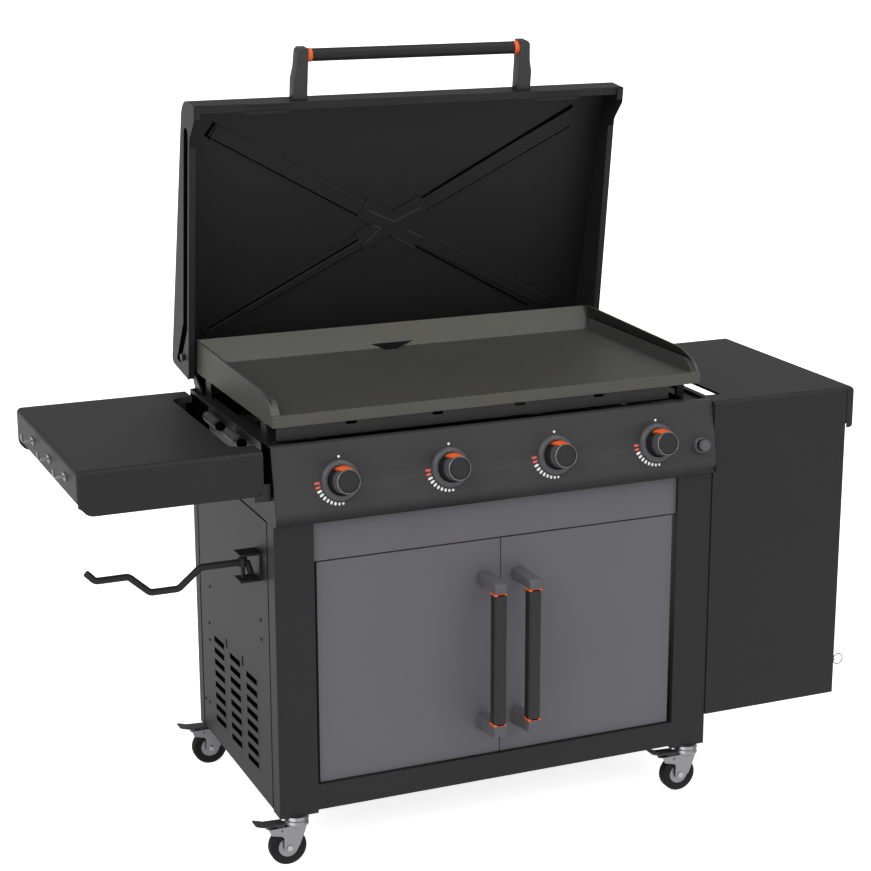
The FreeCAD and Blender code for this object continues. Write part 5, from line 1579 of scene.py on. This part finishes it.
@dataclass
class Casters(Assembly):
    """The wheels with rubber tyres and steel discs, and the ring of the tank cover's latch."""

    radius: float = 37.5
    half: float = 11.5
    disc: float = 21.0
    shoulder: tuple[float, float] = (4.6, 3.4)
    cheek: float = 16.2
    corners: tuple[str, ...] = ("front_left", "front_right", "rear_left", "rear_right")

    def hub(self, word: str) -> Vector:
        """Find the middle of the wheel at a corner."""
        low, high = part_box(f"{word}_wheel")
        return (low + high) / 2

    def wheel(self, place: Matrix) -> Form:
        """Turn a wheel, which is drawn to its middle and mirrored.

        Args:
            place: Where its middle stands.

        Returns:
            Its form, with the tyre's finish first and the disc's second.
        """
        size, half, disc = self.radius, self.half, self.disc
        wide, deep = self.shoulder
        near = [(4.1, half + 0.5), (8.2, half + 0.2), (8.8, half - 1.9), (disc - 0.6, half - 2.2),
                (disc, half - 1.8), (disc + 0.8, half - 0.3), (disc + 2.4, half),
                (size - wide, half)]
        near += [(size - wide + wide * math.sin(turn), half - deep + deep * math.cos(turn))
                 for turn in map(math.radians, (22, 45, 68, 90))]
        tyre, steel = 0, 1
        runs = [steel] * 4 + [tyre] * (len(near) - 5)
        outline = near + [(out, -level) for out, level in reversed(near)]
        return turned(outline, place, 56, runs + [tyre] + runs[::-1] + [steel])

    def wheels(self) -> None:
        """Make the four wheels."""
        for word in self.corners:
            place = standing(self.hub(word), BACK)
            self.shop.piece(f"{word}_tyre", self.wheel(place), self.finishes.rubber,
                            self.finishes.zinc, body=f"{word}_roller", slot="tyre",
                            replaced=[f"{word}_wheel"])

    def axles(self) -> None:
        """Turn the domed ends of the four axles."""
        dome = ((6.3, 0.0), (6.3, 1.8), (5.6, 3.0), (3.4, 3.9), (0.0, 4.2))
        for word in self.corners:
            ends = [turned(dome, standing(self.hub(word) + out * self.cheek * MM, out), 24)
                    for out in (-BACK, BACK)]
            self.shop.piece(f"{word}_axle_ends", joined(*ends), self.finishes.bright,
                            body=f"{word}_swivel", slot="zinc")

    def pull_ring(self) -> None:
        """Bend the latch's ring from round wire."""
        low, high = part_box("pull_ring")
        wire = (high.y - low.y) / 2 / MM
        reach = (high.x - low.x) / 2 / MM - wire
        turns = [math.tau * step / 10 for step in range(10)]
        outline = [(reach + wire * math.cos(turn), wire * math.sin(turn)) for turn in turns]
        form = turned(outline, standing((low + high) / 2, BACK), 40)
        self.shop.piece("pull_ring_wire", form, self.finishes.bracket, body="ring", slot="zinc",
                        replaced=["pull_ring"])

    def build(self) -> None:
        """Build the wheels, the axle ends and the ring."""
        self.wheels()
        self.axles()
        self.pull_ring()


class Studio:
    """The floor, the lights and the camera."""

    EYE = at(-1640.9, -3548.9, 1882.8)
    AZIMUTH = math.radians(22.88)
    FALL = math.radians(15.08)
    ROLL = math.radians(-0.15)
    # The focal length as a share of the picture's width.
    FOCAL = 2069.3 / 871.0
    SENSOR = 36.0
    REACH = 40.0
    FLOOR_LEVEL = -0.0005
    SKY = 0.42
    # Each sun's name, the way to it, its angle in degrees and its strength.
    SUNS = (
        ("key", (-0.85, -0.45, 0.75), 50.0, 1.5),
        ("fill", (0.35, -0.85, 0.60), 70.0, 0.7),
        ("top", (0.375, -0.26, 0.89), 25.0, 0.6),
    )

    def __init__(self, floor: bpy.types.Material) -> None:
        """Set the studio up.

        Args:
            floor: The floor's material.
        """
        self._floor(floor)
        self._lights()
        self._camera()

    def _floor(self, material: bpy.types.Material) -> None:
        """Lay the floor.

        Args:
            material: Its material.
        """
        mesh = bpy.data.meshes.new("floor")
        corners = ((-1, -1), (1, -1), (1, 1), (-1, 1))
        spots = [(x * self.REACH, y * self.REACH, self.FLOOR_LEVEL) for x, y in corners]
        mesh.from_pydata(spots, [], [(0, 1, 2, 3)])
        mesh.materials.append(material)
        floor = linked("floor", mesh)

    def _lights(self) -> None:
        """Set the sky and the suns."""
        world = bpy.data.worlds.new("studio")
        bpy.context.scene.world = world
        world.use_nodes = True
        backdrop = world.node_tree.nodes["Background"]
        backdrop.inputs["Color"].default_value = (1.0, 1.0, 1.0, 1.0)
        backdrop.inputs["Strength"].default_value = self.SKY
        for name, way, soft, power in self.SUNS:
            lamp = bpy.data.lights.new(name, "SUN")
            lamp.angle = math.radians(soft)
            lamp.energy = power
            linked(name, lamp).rotation_euler = Vector(way).to_track_quat("Z", "Y").to_euler()

    def _camera(self) -> None:
        """Stand the camera where the photo was taken from."""
        flat = math.cos(self.FALL)
        ahead = Vector(
            (math.sin(self.AZIMUTH) * flat, math.cos(self.AZIMUTH) * flat, -math.sin(self.FALL))
        )
        right = ahead.cross(UP).normalized()
        above = right.cross(ahead)
        rolled_right = right * math.cos(self.ROLL) + above * math.sin(self.ROLL)
        rolled_above = above * math.cos(self.ROLL) - right * math.sin(self.ROLL)
        data = bpy.data.cameras.new("camera")
        data.sensor_width = self.SENSOR
        data.lens = self.FOCAL * self.SENSOR
        data.clip_end = 100.0
        camera = linked("camera", data)
        turn = Matrix((rolled_right, rolled_above, -ahead)).transposed().to_4x4()
        camera.matrix_world = Matrix.Translation(self.EYE) @ turn
        bpy.context.scene.camera = camera


def main() -> None:
    """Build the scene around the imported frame."""
    logging.basicConfig(level=logging.INFO)
    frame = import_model()
    bpy.context.scene.view_settings.view_transform = "Standard"
    shop = Shop(frame)
    for assembly in (Carcass(shop), Lid(shop), ControlPanel(shop), Handles(shop), Casters(shop)):
        assembly.build()
        LOG.info("%s is done", type(assembly).__name__)
    Studio(shop.finishes.floor)


if __name__ == "__main__":
    main()
